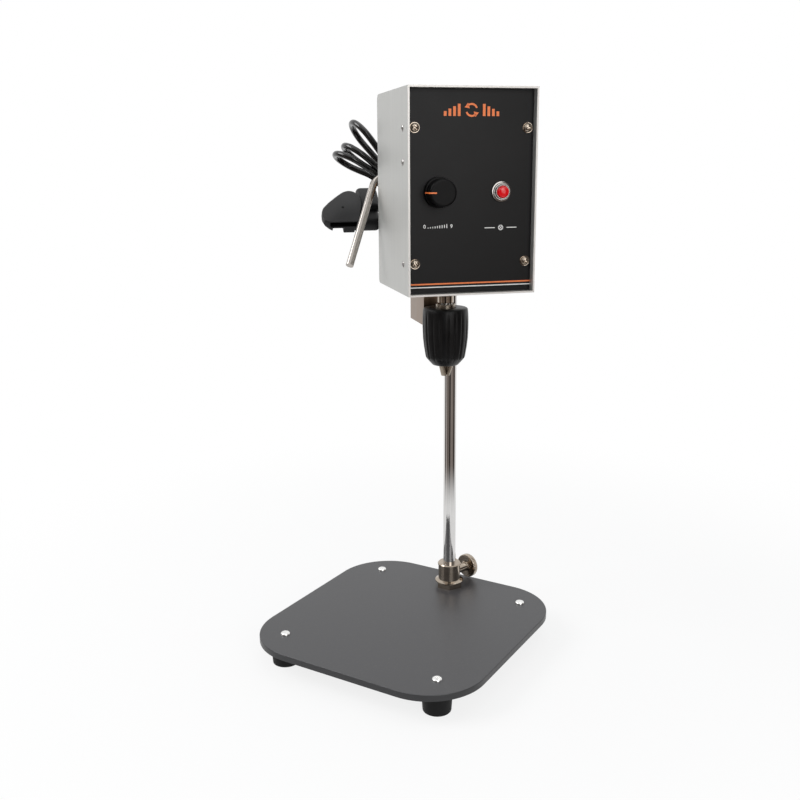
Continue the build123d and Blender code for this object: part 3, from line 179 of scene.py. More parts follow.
def settled_dust():
    """A thin speckle of dust where a surface looks up. Up is the upward part of the normal."""
    effect, start, end = new_effect(
        "settled_dust",
        (
            ("Vector", "NodeSocketVector", None),
            ("Up", "NodeSocketFloat", 0.0),
            ("Amount", "NodeSocketFloat", 0.1),
        ),
        (("Mask", "NodeSocketFloat"),),
    )
    specks = effect.nodes.new("ShaderNodeTexNoise")
    specks.inputs["Scale"].default_value = 420.0
    specks.inputs["Detail"].default_value = 6.0
    specks.inputs["Roughness"].default_value = 0.8
    effect.links.new(start.outputs["Vector"], specks.inputs["Vector"])
    sharp = maths(effect, "MULTIPLY", maths(effect, "SUBTRACT", specks.outputs[0], 0.56), 7.0, clamp=True)
    facing = maths(effect, "MULTIPLY", sharp, maths(effect, "MAXIMUM", start.outputs["Up"], 0.0))
    effect.links.new(maths(effect, "MULTIPLY", facing, start.outputs["Amount"], clamp=True), end.inputs["Mask"])
    return effect


def studio_tent():
    """What polished metal meets round the object: white cloth behind it, a dim brown room in front."""
    effect, start, end = new_effect(
        "studio_tent", (("Vector", "NodeSocketVector", None),), (("Color", "NodeSocketColor"),))
    parts = axes_of(effect, start.outputs["Vector"])
    front = (0.4716, -0.8818)  # the way from the column to the open front of the tent
    along = maths(effect, "ADD", maths(effect, "MULTIPLY", parts["X"], front[0]),
                  maths(effect, "MULTIPLY", parts["Y"], front[1]))
    across = maths(effect, "ADD", maths(effect, "MULTIPLY", parts["X"], -front[1]),
                   maths(effect, "MULTIPLY", parts["Y"], front[0]))
    turn = maths(effect, "ARCTAN2", across, along)
    share = maths(effect, "ADD", maths(effect, "MULTIPLY", turn, 0.5 / math.pi), 0.5)
    ramp = effect.nodes.new("ShaderNodeValToRGB")
    stops = ramp.color_ramp.elements
    while len(stops) > 1:
        stops.remove(stops[-1])
    for number, (degrees, shade) in enumerate(TENT_SHADES):
        stop = stops[0] if number == 0 else stops.new((degrees + 180) / 360)
        stop.position = (degrees + 180) / 360
        stop.color = (shade, shade * (1 - 0.2 * (1 - shade)), shade * (1 - 0.32 * (1 - shade)), 1)
    effect.links.new(share, ramp.inputs[0])
    effect.links.new(ramp.outputs[0], end.inputs["Color"])
    return effect


# degrees round the object from the open front, and how bright the tent is there
TENT_SHADES = (
    (-180, 1.0), (-112, 1.0), (-100, 0.5), (-90, 0.03), (-76, 0.03), (-70, 0.6), (-62, 0.5), (-54, 0.16),
    (-14, 0.17), (-9, 0.01), (7, 0.01), (13, 0.3), (26, 0.24), (58, 0.22), (66, 0.03), (82, 0.03), (92, 0.16),
    (104, 0.8), (116, 1.0), (180, 1.0),
)
MARKS = handling_marks()
GRAIN = fine_grain()
LINES = drawn_lines()
DUST = settled_dust()
TENT = studio_tent()


# ---- finishes --------------------------------------------------------------------------
def use(tree, effect, coords, **values):
    node = tree.nodes.new("ShaderNodeGroup")
    node.node_tree = effect
    tree.links.new(coords, node.inputs["Vector"])
    for label, value in values.items():
        node.inputs[label].default_value = value
    return node


def blended(tree, mask, low, high):
    """Colour that goes from low to high with a mask. Low or high may be a socket."""
    mix = tree.nodes.new("ShaderNodeMix")
    mix.data_type = "RGBA"
    tree.links.new(mask, mix.inputs["Factor"])
    for label, value in (("A", low), ("B", high)):
        socket = next(s for s in mix.inputs if s.name == label and s.type == "RGBA")
        if isinstance(value, tuple):
            socket.default_value = value
        else:
            tree.links.new(value, socket)
    return next(s for s in mix.outputs if s.type == "RGBA")


def finish(name, dark, light, rough, marks=20.0, contrast=2.2, grain=None, lines=None, dust=0.0,
           depth=0.00002, **shader):
    """A finish: two shades in soft patches, an uneven roughness, and grain or drawn lines in relief."""
    material = bpy.data.materials.new(name)
    material.use_nodes = True
    tree = material.node_tree
    skin = tree.nodes["Principled BSDF"]
    where = seen_where(tree)
    patches = use(tree, MARKS, where, Scale=marks, Contrast=contrast).outputs["Mask"]
    colour = blended(tree, patches, dark, light)
    mask = patches
    height = None
    if lines is not None:
        drawn = use(tree, LINES, where, Stretch=lines[1], Scale=lines[0])
        height = drawn.outputs["Height"]
        mask = maths(tree, "MULTIPLY", maths(tree, "ADD", patches, drawn.outputs["Mask"]), 0.5)
        colour = blended(tree, mask, dark, light)
    if grain is not None:
        height = use(tree, GRAIN, where, Scale=grain).outputs["Height"]
    roughness = ranged(tree, mask, 0.0, 1.0, *rough)
    if dust:
        normal = tree.nodes.new("ShaderNodeNewGeometry").outputs["Normal"]
        fallen = use(tree, DUST, where, Amount=dust)
        tree.links.new(axes_of(tree, normal)["Z"], fallen.inputs["Up"])
        colour = blended(tree, fallen.outputs["Mask"], colour, paint(168, 166, 162))
        roughness = maths(tree, "ADD", roughness, maths(tree, "MULTIPLY", fallen.outputs["Mask"], 0.4), clamp=True)
    tree.links.new(colour, skin.inputs["Base Color"])
    tree.links.new(roughness, skin.inputs["Roughness"])
    if height is not None:
        bump = tree.nodes.new("ShaderNodeBump")
        bump.inputs["Strength"].default_value = 0.5
        bump.inputs["Distance"].default_value = depth
        tree.links.new(height, bump.inputs["Height"])
        tree.links.new(bump.outputs[0], skin.inputs["Normal"])
    for label, value in shader.items():
        skin.inputs[label.replace("_", " ")].default_value = value
    return material


ALONG_Z = (1.0, 1.0, 0.015)
ROUND_Z = (0.03, 0.03, 1.0)
foot_rubber = finish("foot_rubber", paint(7, 7, 8), paint(13, 13, 14), (0.5, 0.68), marks=60.0, grain=700.0,
                     dust=0.08, Specular_IOR_Level=0.2)
bright_zinc = finish("bright_zinc", paint(226, 226, 225), paint(246, 246, 244), (0.16, 0.3), marks=260.0,
                     grain=1800.0, depth=0.000008, Metallic=1.0)
nickel_plate = finish("nickel_plate", paint(156, 143, 128), paint(186, 175, 162), (0.08, 0.15), marks=140.0,
                      lines=(900.0, ROUND_Z), depth=0.000006, Metallic=1.0)
column_chrome = finish("column_chrome", paint(206, 205, 204), paint(232, 231, 230), (0.045, 0.1), marks=26.0,
                       lines=(1500.0, ALONG_Z), depth=0.0000015, Metallic=1.0)
lever_steel = finish("lever_steel", paint(160, 154, 148), paint(196, 190, 184), (0.05, 0.1), marks=90.0,
                     lines=(1300.0, (1.0, 1.0, 0.08)), depth=0.000004, Metallic=1.0)
inner_zinc = finish("inner_zinc", paint(146, 147, 150), paint(184, 184, 184), (0.28, 0.46), marks=90.0,
                    grain=1200.0, depth=0.00001, Metallic=1.0)
clamp_nickel = finish("clamp_nickel", paint(112, 92, 76), paint(140, 120, 102), (0.26, 0.4), marks=46.0,
                      lines=(800.0, ALONG_Z), depth=0.00001, Metallic=1.0)
panel_ink = finish("panel_ink", paint(12, 12, 13), paint(17, 17, 18), (0.34, 0.46), marks=16.0, contrast=1.4,
                   grain=2200.0, depth=0.000008, Specular_IOR_Level=0.22)
knob_black = finish("knob_black", paint(6, 6, 6), paint(10, 10, 11), (0.3, 0.4), marks=90.0, grain=1500.0,
                    depth=0.00001, Specular_IOR_Level=0.12)
control_black = finish("control_black", paint(26, 26, 27), paint(38, 38, 39), (0.45, 0.6), marks=90.0, grain=900.0)
bezel_chrome = finish("bezel_chrome", paint(150, 147, 144), paint(184, 181, 178), (0.14, 0.24), marks=200.0,
                      lines=(1400.0, (0.05, 0.05, 0.05)), depth=0.000002, Metallic=1.0)
motor_grey = finish("motor_grey", paint(118, 121, 124), paint(140, 142, 144), (0.4, 0.55), marks=40.0, grain=900.0)
lamination_steel = finish("lamination_steel", paint(92, 88, 86), paint(128, 122, 118), (0.35, 0.55), marks=60.0,
                          lines=(2600.0, (0.02, 0.02, 1.0)), depth=0.00004, Metallic=0.8)
ground_steel = finish("ground_steel", paint(176, 176, 178), paint(208, 208, 208), (0.16, 0.3), marks=90.0,
                      lines=(1200.0, ROUND_Z), depth=0.000006, Metallic=1.0)
copper_bars = finish("copper_bars", paint(176, 102, 66), paint(214, 140, 100), (0.2, 0.38), marks=90.0,
                     lines=(1200.0, ALONG_Z), Metallic=1.0)
brush_carbon = finish("brush_carbon", paint(38, 38, 40), paint(56, 56, 58), (0.5, 0.7), marks=300.0, grain=1200.0)
fan_black = finish("fan_black", paint(32, 32, 34), paint(46, 46, 48), (0.4, 0.55), marks=90.0, grain=900.0)
board_mask = finish("board_mask", paint(20, 92, 52), paint(34, 118, 68), (0.25, 0.4), marks=160.0, grain=1100.0)
chuck_black = finish("chuck_black", paint(8, 8, 9), paint(15, 15, 16), (0.3, 0.44), marks=80.0, grain=1300.0,
                     depth=0.000012, Specular_IOR_Level=0.25)
jaw_steel = finish("jaw_steel", paint(142, 132, 118), paint(184, 174, 160), (0.18, 0.34), marks=120.0,
                   lines=(1000.0, ROUND_Z), depth=0.000008, Metallic=1.0)
cord_sheath = finish("cord_sheath", paint(5, 5, 5), paint(11, 11, 11), (0.14, 0.24), marks=130.0, contrast=1.6,
                     grain=1500.0, depth=0.00001, Coat_Weight=0.25, Coat_Roughness=0.15)
plug_skin = finish("plug_skin", paint(24, 24, 25), paint(33, 33, 34), (0.4, 0.52), marks=70.0, grain=1600.0,
                   dust=0.03, depth=0.00002, Specular_IOR_Level=0.3)
# Painted shade: a darker black for the plug's hollow and screw hole, where shade falls.
plug_hollow_painted_shade = finish("plug_hollow_painted_shade", paint(7, 7, 7), paint(14, 14, 14), (0.55, 0.7), marks=70.0, grain=900.0,
                     Specular_IOR_Level=0.15)
tie_skin = finish("tie_skin", paint(18, 18, 18), paint(30, 30, 30), (0.35, 0.5), marks=90.0, grain=1100.0)
pin_brass = finish("pin_brass", paint(196, 164, 88), paint(224, 196, 124), (0.14, 0.3), marks=120.0,
                   lines=(1200.0, (0.05, 1.0, 1.0)), depth=0.000005, Metallic=1.0)
orange_ink = finish("orange_ink", paint(222, 112, 52), paint(236, 124, 60), (0.4, 0.52), marks=300.0, grain=2200.0,
                    depth=0.000006)
white_ink = finish("white_ink", paint(222, 221, 218), paint(238, 237, 234), (0.4, 0.52), marks=300.0, grain=2200.0,
                   depth=0.000006)
rivet_steel = finish("rivet_steel", paint(150, 148, 146), paint(196, 194, 192), (0.2, 0.36), marks=500.0, grain=2200.0,
                     Metallic=1.0)


def squared_to_head(tree, centre):
    """Places on the head, measured from a centre in the head's own directions."""
    turned = tree.nodes.new("ShaderNodeMapping")
    turned.vector_type = "TEXTURE"
    turned.inputs["Location"].default_value = centre
    turned.inputs["Rotation"].default_value = (0.0, 0.0, math.radians(45))
    tree.links.new(seen_where(tree), turned.inputs["Vector"])
    return turned.outputs[0]


def case_sheet():
    """Satin rolled sheet: grain runs up the sides, and the sheared rim in front carries a painted highlight, lighter
    than the sheet.
    """
    material = finish("case_sheet", paint(170, 170, 167), paint(190, 190, 187), (0.36, 0.5), marks=9.0, contrast=1.5,
                      lines=(420.0, ALONG_Z), depth=0.000006, Metallic=0.55, Specular_IOR_Level=0.5)
    tree = material.node_tree
    skin = tree.nodes["Principled BSDF"]
    body_colour = skin.inputs["Base Color"].links[0].from_socket
    # Painted highlight: the front rim of the sheet is painted near white.
    rim = ranged(tree, axes_of(tree, squared_to_head(tree, COLUMN))["Y"], -0.1284, -0.1289)
    tree.links.new(blended(tree, rim, body_colour, paint(214, 211, 207)), skin.inputs["Base Color"])
    return material


def plate_paint():
    """Dark grey baked paint with a soft sheen on top; the sawn edge is painted darker, as painted shade."""
    material = finish("plate_coat", paint(60, 60, 62), paint(68, 68, 70), (0.32, 0.42), marks=7.0, contrast=1.6,
                      grain=1500.0, dust=0.08, depth=0.000015, Specular_IOR_Level=0.5)
    tree = material.node_tree
    skin = tree.nodes["Principled BSDF"]
    top_colour = skin.inputs["Base Color"].links[0].from_socket
    upright = axes_of(tree, tree.nodes.new("ShaderNodeNewGeometry").outputs["Normal"])["Z"]
    # Painted shade: upright faces, the sawn edge, are painted darker than the top.
    flat = ranged(tree, maths(tree, "ABSOLUTE", upright, 0.0), 0.35, 0.8)
    tree.links.new(blended(tree, flat, paint(38, 38, 40), top_colour), skin.inputs["Base Color"])
    return material


def lamp_lens():
    """Clear red moulding with fine steps round its axis, brighter at the crown, with a faint painted glow."""
    material = bpy.data.materials.new("lamp_lens")
    material.use_nodes = True
    tree = material.node_tree
    skin = tree.nodes["Principled BSDF"]
    rings = tree.nodes.new("ShaderNodeTexWave")
    rings.wave_type = "RINGS"
    rings.rings_direction = "Y"
    rings.inputs["Scale"].default_value = 110.0
    rings.inputs["Distortion"].default_value = 0.0
    tree.links.new(squared_to_head(tree, on_head(LAMP_AT[0], -132, LAMP_AT[1])), rings.inputs["Vector"])
    red_tone_and_painted_glow = use(tree, MARKS, seen_where(tree), Scale=160.0, Contrast=2.0).outputs["Mask"]
    tree.links.new(blended(tree, red_tone_and_painted_glow, paint(168, 0, 10), paint(208, 8, 18)), skin.inputs["Base Color"])
    tree.links.new(ranged(tree, rings.outputs["Fac"], 0.0, 1.0, 0.1, 0.2), skin.inputs["Roughness"])
    bump = tree.nodes.new("ShaderNodeBump")
    bump.inputs["Strength"].default_value = 0.6
    bump.inputs["Distance"].default_value = 0.0002
    tree.links.new(rings.outputs["Fac"], bump.inputs["Height"])
    tree.links.new(bump.outputs[0], skin.inputs["Normal"])
    skin.inputs["Coat Weight"].default_value = 0.4
    skin.inputs["Coat Roughness"].default_value = 0.05
    # Painted glow: a faint red emission makes the lens shine by itself.
    skin.inputs["Emission Strength"].default_value = 0.12
    tree.links.new(blended(tree, red_tone_and_painted_glow, paint(190, 4, 14), paint(240, 20, 26)), skin.inputs["Emission Color"])
    return material


case_metal = case_sheet()
plate_coat = plate_paint()
lens_red = lamp_lens()

WORN_BY = {
    plate_coat: ("base_plate",),
    foot_rubber: ("rubber_feet",),
    bright_zinc: ("foot_screws", "motor_plate_screws"),
    nickel_plate: ("column_boss", "boss_lock_nut", "thumb_screw", "panel_washers", "spindle_nose"),
    column_chrome: ("column_rod",),
    case_metal: ("case_wrap", "case_side_left", "case_side_right", "side_rivets"),
    inner_zinc: ("foot_nuts", "boss_washer", "boss_base_nut", "panel_brackets", "control_nuts", "clamp_bolts",
                 "motor_plate", "board_standoffs", "board_parts"),
    panel_ink: ("front_panel",),
    knob_black: ("speed_knob",),
    control_black: ("pot_body", "indicator_body", "gland_nut"),
    bezel_chrome: ("indicator_bezel",),
    lens_red: ("indicator_lens",),
    clamp_nickel: ("clamp_bracket",),
    lever_steel: ("clamp_lever",),
    motor_grey: ("motor_can", "motor_lower_bell", "motor_upper_bell"),
    lamination_steel: ("stator", "armature"),
    ground_steel: ("motor_shaft", "motor_bearings", "chuck_nut", "pot_shaft"),
    copper_bars: ("commutator",),
    brush_carbon: ("carbon_brushes",),
    fan_black: ("cooling_fan",),
    board_mask: ("control_board",),
    chuck_black: ("chuck_sleeve",),
    jaw_steel: ("chuck_body", "jaw_1", "jaw_2", "jaw_3"),
    cord_sheath: ("power_cord_lead", "power_cord_tail", "cord_hank", "strain_relief"),
    plug_skin: ("plug_body",),
    tie_skin: ("cord_tie",),
    pin_brass: ("plug_pins", "brush_holders"),
}
for material, names in WORN_BY.items():
    for name in names:
        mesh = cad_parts[name].data
        mesh.materials.clear()
        mesh.materials.append(material)


# ---- pieces ----------------------------------------------------------------------------
def made(bm, name, body, material, place=HEAD, smooth=35):
    """Finish a bmesh as a piece that rides on a body, with its place in its mesh."""
    bmesh.ops.remove_doubles(bm, verts=bm.verts, dist=0.000001)
    bmesh.ops.recalc_face_normals(bm, faces=bm.faces)
    bmesh.ops.transform(bm, matrix=place, verts=bm.verts)
    mesh = bpy.data.meshes.new(name)
    bm.to_mesh(mesh)
    bm.free()
    mesh.materials.append(material)
    piece = bpy.data.objects.new(name, mesh)
    bpy.context.scene.collection.objects.link(piece)
    mesh.shade_smooth()
    mesh.set_sharp_from_angle(angle=math.radians(smooth))
    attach(piece, body)
    return piece


def add_turned(bm, outline, place=Matrix(), steps=72):
    """Turn an outline of (distance along the axis, radius) points, in millimetres, about z."""
    line = [bm.verts.new((radius / 1000, 0, distance / 1000)) for distance, radius in outline]
    edges = [bm.edges.new(pair) for pair in zip(line, line[1:])]
    before = set(bm.verts) - set(line)
    bmesh.ops.spin(bm, geom=line + edges, cent=(0, 0, 0), axis=(0, 0, 1), angle=math.tau, steps=steps,
                   use_merge=True, use_duplicate=False)
    turned = [vert for vert in bm.verts if vert not in before]
    bmesh.ops.transform(bm, matrix=place, verts=turned)
    return turned


def verts_in(geometry):
    return [g for g in geometry if isinstance(g, bmesh.types.BMVert)]


def out_of_panel(x, z):
    """The way out of the panel at a place on it, in millimetres."""
    return Matrix.Translation(Vector((x, -122.0, z)) / 1000) @ Matrix.Rotation(SQUARE, 4, "X")


def add_block(bm, low, high):
    """A block between two corners, in millimetres."""
    low, high = Vector(low) / 1000, Vector(high) / 1000
    size = high - low
    place = Matrix.Translation((low + high) / 2) @ Matrix.Diagonal((*size, 1))
    return bmesh.ops.create_cube(bm, size=1.0, matrix=place)["verts"]


INK_FRONT = -122.06
INK_BACK = -121.95


def add_ink(bm, x_low, x_high, z_low, z_high):
    """A printed bar on the panel, measured from the panel's middle and the case's bottom."""
    add_block(bm, (x_low + FACE_MIDDLE, INK_FRONT, z_low + CASE_BOTTOM),
              (x_high + FACE_MIDDLE, INK_BACK, z_high + CASE_BOTTOM))


def add_ring(bm, x, z, radius, width, turn, start=0.0):
    """A printed ring, or part of one, round a place on the panel."""
    centre = Vector((x + FACE_MIDDLE, 0, z + CASE_BOTTOM)) / 1000
    inner, outer = (centre.x + (radius + side * width / 2) / 1000 for side in (-1, 1))
    corners = [bm.verts.new((across, depth / 1000, centre.z)) for across, depth in (
        (inner, INK_FRONT), (outer, INK_FRONT), (outer, INK_BACK), (inner, INK_BACK))]
    section = [bm.edges.new(pair) for pair in zip(corners, corners[1:] + corners[:1])]
    bmesh.ops.rotate(bm, cent=centre, matrix=Matrix.Rotation(-math.radians(start), 3, "Y"), verts=corners)
    whole = abs(turn) >= 360
    if not whole:
        section.append(bm.faces.new(corners))
    bmesh.ops.spin(bm, geom=corners + section, cent=centre, axis=(0, -1, 0), angle=math.radians(turn), steps=40,
                   use_merge=whole, use_duplicate=False)


def print_on_panel():
    """The panel's orange motif and lines, and its white scale marks."""
    orange = bmesh.new()
    add_ink(orange, -54.2, 54.2, 8.8, 9.95)
    for side in (-1, 1):
        for step in range(4):
            middle, tall = side * (10.6 + 3.9 * step), 9.4 - 1.9 * step
            add_ink(orange, middle - 1.15, middle + 1.15, 144.0, 144.0 + tall)
    for start in (200, 20):
        add_ring(orange, 0, 148.7, 4.6, 1.5, 120, start)
    for side in (1, -1):
        tip = bmesh.ops.create_cone(orange, cap_ends=True, segments=3, radius1=0.0026, radius2=0.0026,
                                    depth=0.00011)["verts"]
        lean = math.radians(-50 if side > 0 else 130)
        for turn in (Matrix.Rotation(SQUARE, 3, "X"), Matrix.Rotation(lean, 3, "Y")):
            bmesh.ops.rotate(orange, cent=(0, 0, 0), matrix=turn, verts=tip)
        bmesh.ops.translate(orange, verts=tip, vec=(-0.020 + side * 0.0036, -0.122005, 0.4987 - side * 0.0029))
    made(orange, "panel_orange_print", "head", orange_ink)

    white = bmesh.new()
    add_ink(white, -54.2, 54.2, 6.3, 7.1)
    for step in range(9):
        add_ink(white, -36.9 + step * 2.0, -36.3 + step * 2.0, 55.2, 55.9 + 0.3 * step)
    for side in (-1, 1):
        add_ink(white, 26.3 + side * 9.6 - 4.4, 26.3 + side * 9.6 + 4.4, 54.35, 54.95)
    add_ring(white, 26.3, 54.65, 1.9, 0.5, 360)
    x, z = 26.3 + FACE_MIDDLE, 54.65 + CASE_BOTTOM
    for turn in (45, -45):
        bar = add_block(white, (x - 1.7, INK_FRONT, z - 0.22), (x + 1.7, INK_BACK, z + 0.22))
        bmesh.ops.rotate(white, cent=(x / 1000, 0, z / 1000), matrix=Matrix.Rotation(math.radians(turn), 3, "Y"),
                         verts=bar)
    made(white, "panel_white_print", "head", white_ink)


def print_number(text, x, z, height):
    """A plain number, printed on the panel."""
    letters = bpy.data.curves.new("number", "FONT")
    letters.body = text
    letters.size = height / 1000 / 0.72
    letters.align_x = "CENTER"
    letters.offset = 0.00003
    letters.extrude = 0.00005
    shape = bpy.data.objects.new("number", letters)
    bpy.context.scene.collection.objects.link(shape)
    bpy.context.view_layer.update()
    mesh = bpy.data.meshes.new_from_object(shape)
    bpy.data.objects.remove(shape)
    bm = bmesh.new()
    bm.from_mesh(mesh)
    bpy.data.meshes.remove(mesh)
    stand = Matrix.Translation(Vector((x + FACE_MIDDLE, -122.01, z + CASE_BOTTOM)) / 1000)
    stand = stand @ Matrix.Rotation(SQUARE, 4, "X")
    bmesh.ops.transform(bm, matrix=stand, verts=bm.verts)
    return made(bm, f"panel_number_{text}", "head", white_ink)


print_on_panel()
print_number("0", -39.6, 55.2, 3.1)
print_number("9", -16.6, 55.2, 3.1)


def speed_knob():
    """A broad skirt, a groove, and a finely ribbed cap. The pointer runs over all three."""
    bm = bmesh.new()
    turned = add_turned(bm, (
        (13.0, 0), (13.0, 3.1), (0.6, 3.1), (0.6, 11.9), (0.9, 12.4), (1.4, 12.5), (3.2, 12.5), (3.8, 12.3),
        (4.1, 11.8), (4.2, 10.9), (4.5, 10.6), (5.1, 10.6), (5.5, 11.0), (5.8, 11.35), (6.4, 11.45), (15.0, 11.2), (15.8, 11.0), (16.3, 10.5),
        (16.5, 9.8), (16.5, 9.3), (16.5, 0),
    ), steps=192)
    for vert in turned:
        height, reach = vert.co.z * 1000, Vector(vert.co.xy).length * 1000
        if 5.9 < height < 15.2 and reach > 11:
            around = math.atan2(vert.co.y, vert.co.x)
            vert.co.xy *= 1 - 0.022 * max(0.0, math.cos(48 * around)) ** 2
    bmesh.ops.transform(bm, matrix=out_of_panel(*KNOB_AT), verts=turned)
    knob = made(bm, "ribbed_knob", "speed_knob", knob_black)
    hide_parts("speed_knob")

    bm = bmesh.new()
    x, z = KNOB_AT
    for outer, front, inner, back in (
            (10.9, -138.58, 5.8, -138.3), (11.62, -138.2, 11.0, -126.6), (12.2, -126.32, 10.5, -126.0)):
        add_block(bm, (x - outer, front, z - 0.6), (x - inner, back, z + 0.6))
    made(bm, "knob_pointer", "speed_knob", orange_ink)


def indicator():
    """The lamp: a stepped bright bezel and a red lens that stands out of it."""
    bm = bmesh.new()
    add_turned(bm, (
        (1.5, 6.05), (0.0, 6.05), (0.0, 8.4), (0.5, 8.5), (1.3, 8.5), (1.8, 8.2), (1.9, 7.75), (1.45, 7.5),
        (1.5, 7.2), (2.7, 7.05), (3.1, 6.8), (3.1, 6.5), (2.6, 6.25), (2.7, 6.0), (4.3, 5.85), (4.7, 5.65),
        (4.7, 5.3), (4.2, 5.05), (1.5, 5.05), (1.5, 6.05),
    ), place=out_of_panel(*LAMP_AT), steps=96)
    bezel = made(bm, "lamp_bezel", "head", bezel_chrome)
    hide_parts("indicator_bezel")

    bm = bmesh.new()
    add_turned(bm, (
        (1.5, 0), (1.5, 5.0), (5.9, 5.0), (6.8, 4.75), (7.6, 4.1), (8.2, 3.0), (8.45, 1.6), (8.5, 0),
    ), place=out_of_panel(*LAMP_AT), steps=72)
    lens = made(bm, "lamp_lens", "head", lens_red)
    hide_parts("indicator_lens")


def blind_rivets():
    """Blind rivets in the case's sides: a low dome with the hollow that its pin left."""
    bm = bmesh.new()
    outline = (
        (-2.7, 0), (-2.7, 2.0), (-1.6, 2.7), (-1.5, 1.6), (0, 1.6), (0, 2.8), (0.15, 2.85), (0.45, 2.5),
        (0.75, 1.9), (0.85, 1.4), (0.75, 1.1), (-0.6, 0.95), (-0.7, 0),
    )
    for x, turn in ((-75, -90), (35, 90)):
        for z in (375.5, 458, 485):
            place = Matrix.Translation(Vector((x, -111, z)) / 1000) @ Matrix.Rotation(math.radians(turn), 4, "Y")
            add_turned(bm, outline, place=place, steps=28)
    rivets = made(bm, "blind_rivets", "head", rivet_steel)
    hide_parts("side_rivets")


def thumb_screw():
    """The screw that holds the column in its boss, with a broad milled disc."""
    bm = bmesh.new()
    turned = add_turned(bm, (
        (6.65, 0), (6.65, 2.4), (7.6, 3.0), (12.3, 3.0), (12.3, 4.2), (24.0, 4.3), (24.9, 4.7), (25.4, 5.6),
        (25.5, 6.2), (25.5, 11.1), (25.7, 11.8), (26.2, 12.2), (30.3, 12.2), (30.9, 11.8), (31.1, 11.1),
        (31.0, 10.3), (30.6, 9.4), (30.6, 0),
    ), steps=180)
    for vert in turned:
        reach = Vector(vert.co.xy).length * 1000
        if reach > 11.9:
            vert.co.xy *= 1 - 0.03 * max(0.0, math.cos(45 * math.atan2(vert.co.y, vert.co.x)))
    axis = Matrix.Translation((0, 0.088, 0.0415)) @ Matrix.Rotation(math.radians(75), 4, "Z")
    piece = made(bm, "milled_thumb_screw", "thumb_screw", nickel_plate,
                 place=axis @ Matrix.Rotation(SQUARE, 4, "Y"))
    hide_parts("thumb_screw")


def chuck_grip_sleeve():
    """The chuck's grip: a bulging sleeve with long flutes that run out on its lower cone."""
    bm = bmesh.new()
    turned = add_turned(bm, (
        (0.8, 11.0), (0.8, 11.8), (1.2, 12.4), (4.0, 14.9), (7.0, 17.5), (7.8, 18.0), (9.0, 18.4), (12, 18.9),
        (18, 19.9), (26, 20.8), (36, 21.2), (44, 21.2), (50, 20.9), (52.4, 20.6), (53.3, 20.2), (53.8, 19.3),
        (53.8, 9.4), (50.8, 9.4), (50.8, 18.6), (15.2, 18.6), (15.2, 14.9), (7.0, 14.9), (2.4, 11.0), (0.8, 11.0),
    ), steps=216)
    for vert in turned:
        height, reach = vert.co.z * 1000, Vector(vert.co.xy).length * 1000
        if 2 < height < 51 and reach > 14.5 and not (15.1 < height < 50.9 and reach < 18.65):
            fade = min(1.0, max(0.0, height - 5) / 4, (51 - height) / 9)
            groove = max(0.0, math.cos(18 * math.atan2(vert.co.y, vert.co.x))) ** 2.4
            vert.co.xy *= (reach - 0.7 * fade * groove) / reach
    bmesh.ops.transform(bm, matrix=Matrix.Translation((-0.020, -0.050, 0.2746)), verts=turned)
    sleeve = made(bm, "chuck_grip_sleeve", "chuck_sleeve", chuck_black)
    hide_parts("chuck_sleeve")


def column_clamp():
    """The clamp behind the case: its lower leg stands beside the column."""
    leg, shelf = -0.0115, 0.3525
    bm = bmesh.new()
    bm.from_mesh(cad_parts["clamp_bracket"].data)
    bmesh.ops.remove_doubles(bm, verts=bm.verts, dist=0.000005)
    bmesh.ops.transform(bm, matrix=HEAD.inverted(), verts=bm.verts)
    for centre, normal in (((leg, 0, 0), (1, 0, 0)), ((0, 0, shelf), (0, 0, 1))):
        bmesh.ops.bisect_plane(bm, geom=bm.verts[:] + bm.edges[:] + bm.faces[:], plane_co=centre, plane_no=normal)
    corner = [f for f in bm.faces if f.calc_center_median().x > leg and f.calc_center_median().z < shelf]
    bmesh.ops.delete(bm, geom=corner, context="FACES")
    open_verts = {v for e in bm.edges if e.is_boundary for v in e.verts}
    ends = [v for v in open_verts if abs(v.co.x - leg) < 1e-6 and abs(v.co.z - shelf) < 1e-6]
    ends.sort(key=lambda v: v.co.y)
    step = [bm.edges.new((ends[0], ends[-1]))] if len(ends) > 1 else []
    for part, place, normal in ((0, leg, (1, 0, 0)), (2, shelf, (0, 0, -1))):
        rim = [e for e in bm.edges if e.is_boundary and all(abs(v.co[part] - place) < 1e-6 for v in e.verts)]
        bmesh.ops.triangle_fill(bm, use_beauty=True, use_dissolve=False, normal=normal,
                                edges=rim + [e for e in step if e not in rim])
    clamp = made(bm, "column_clamp", "head", clamp_nickel, smooth=30)
    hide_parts("clamp_bracket")


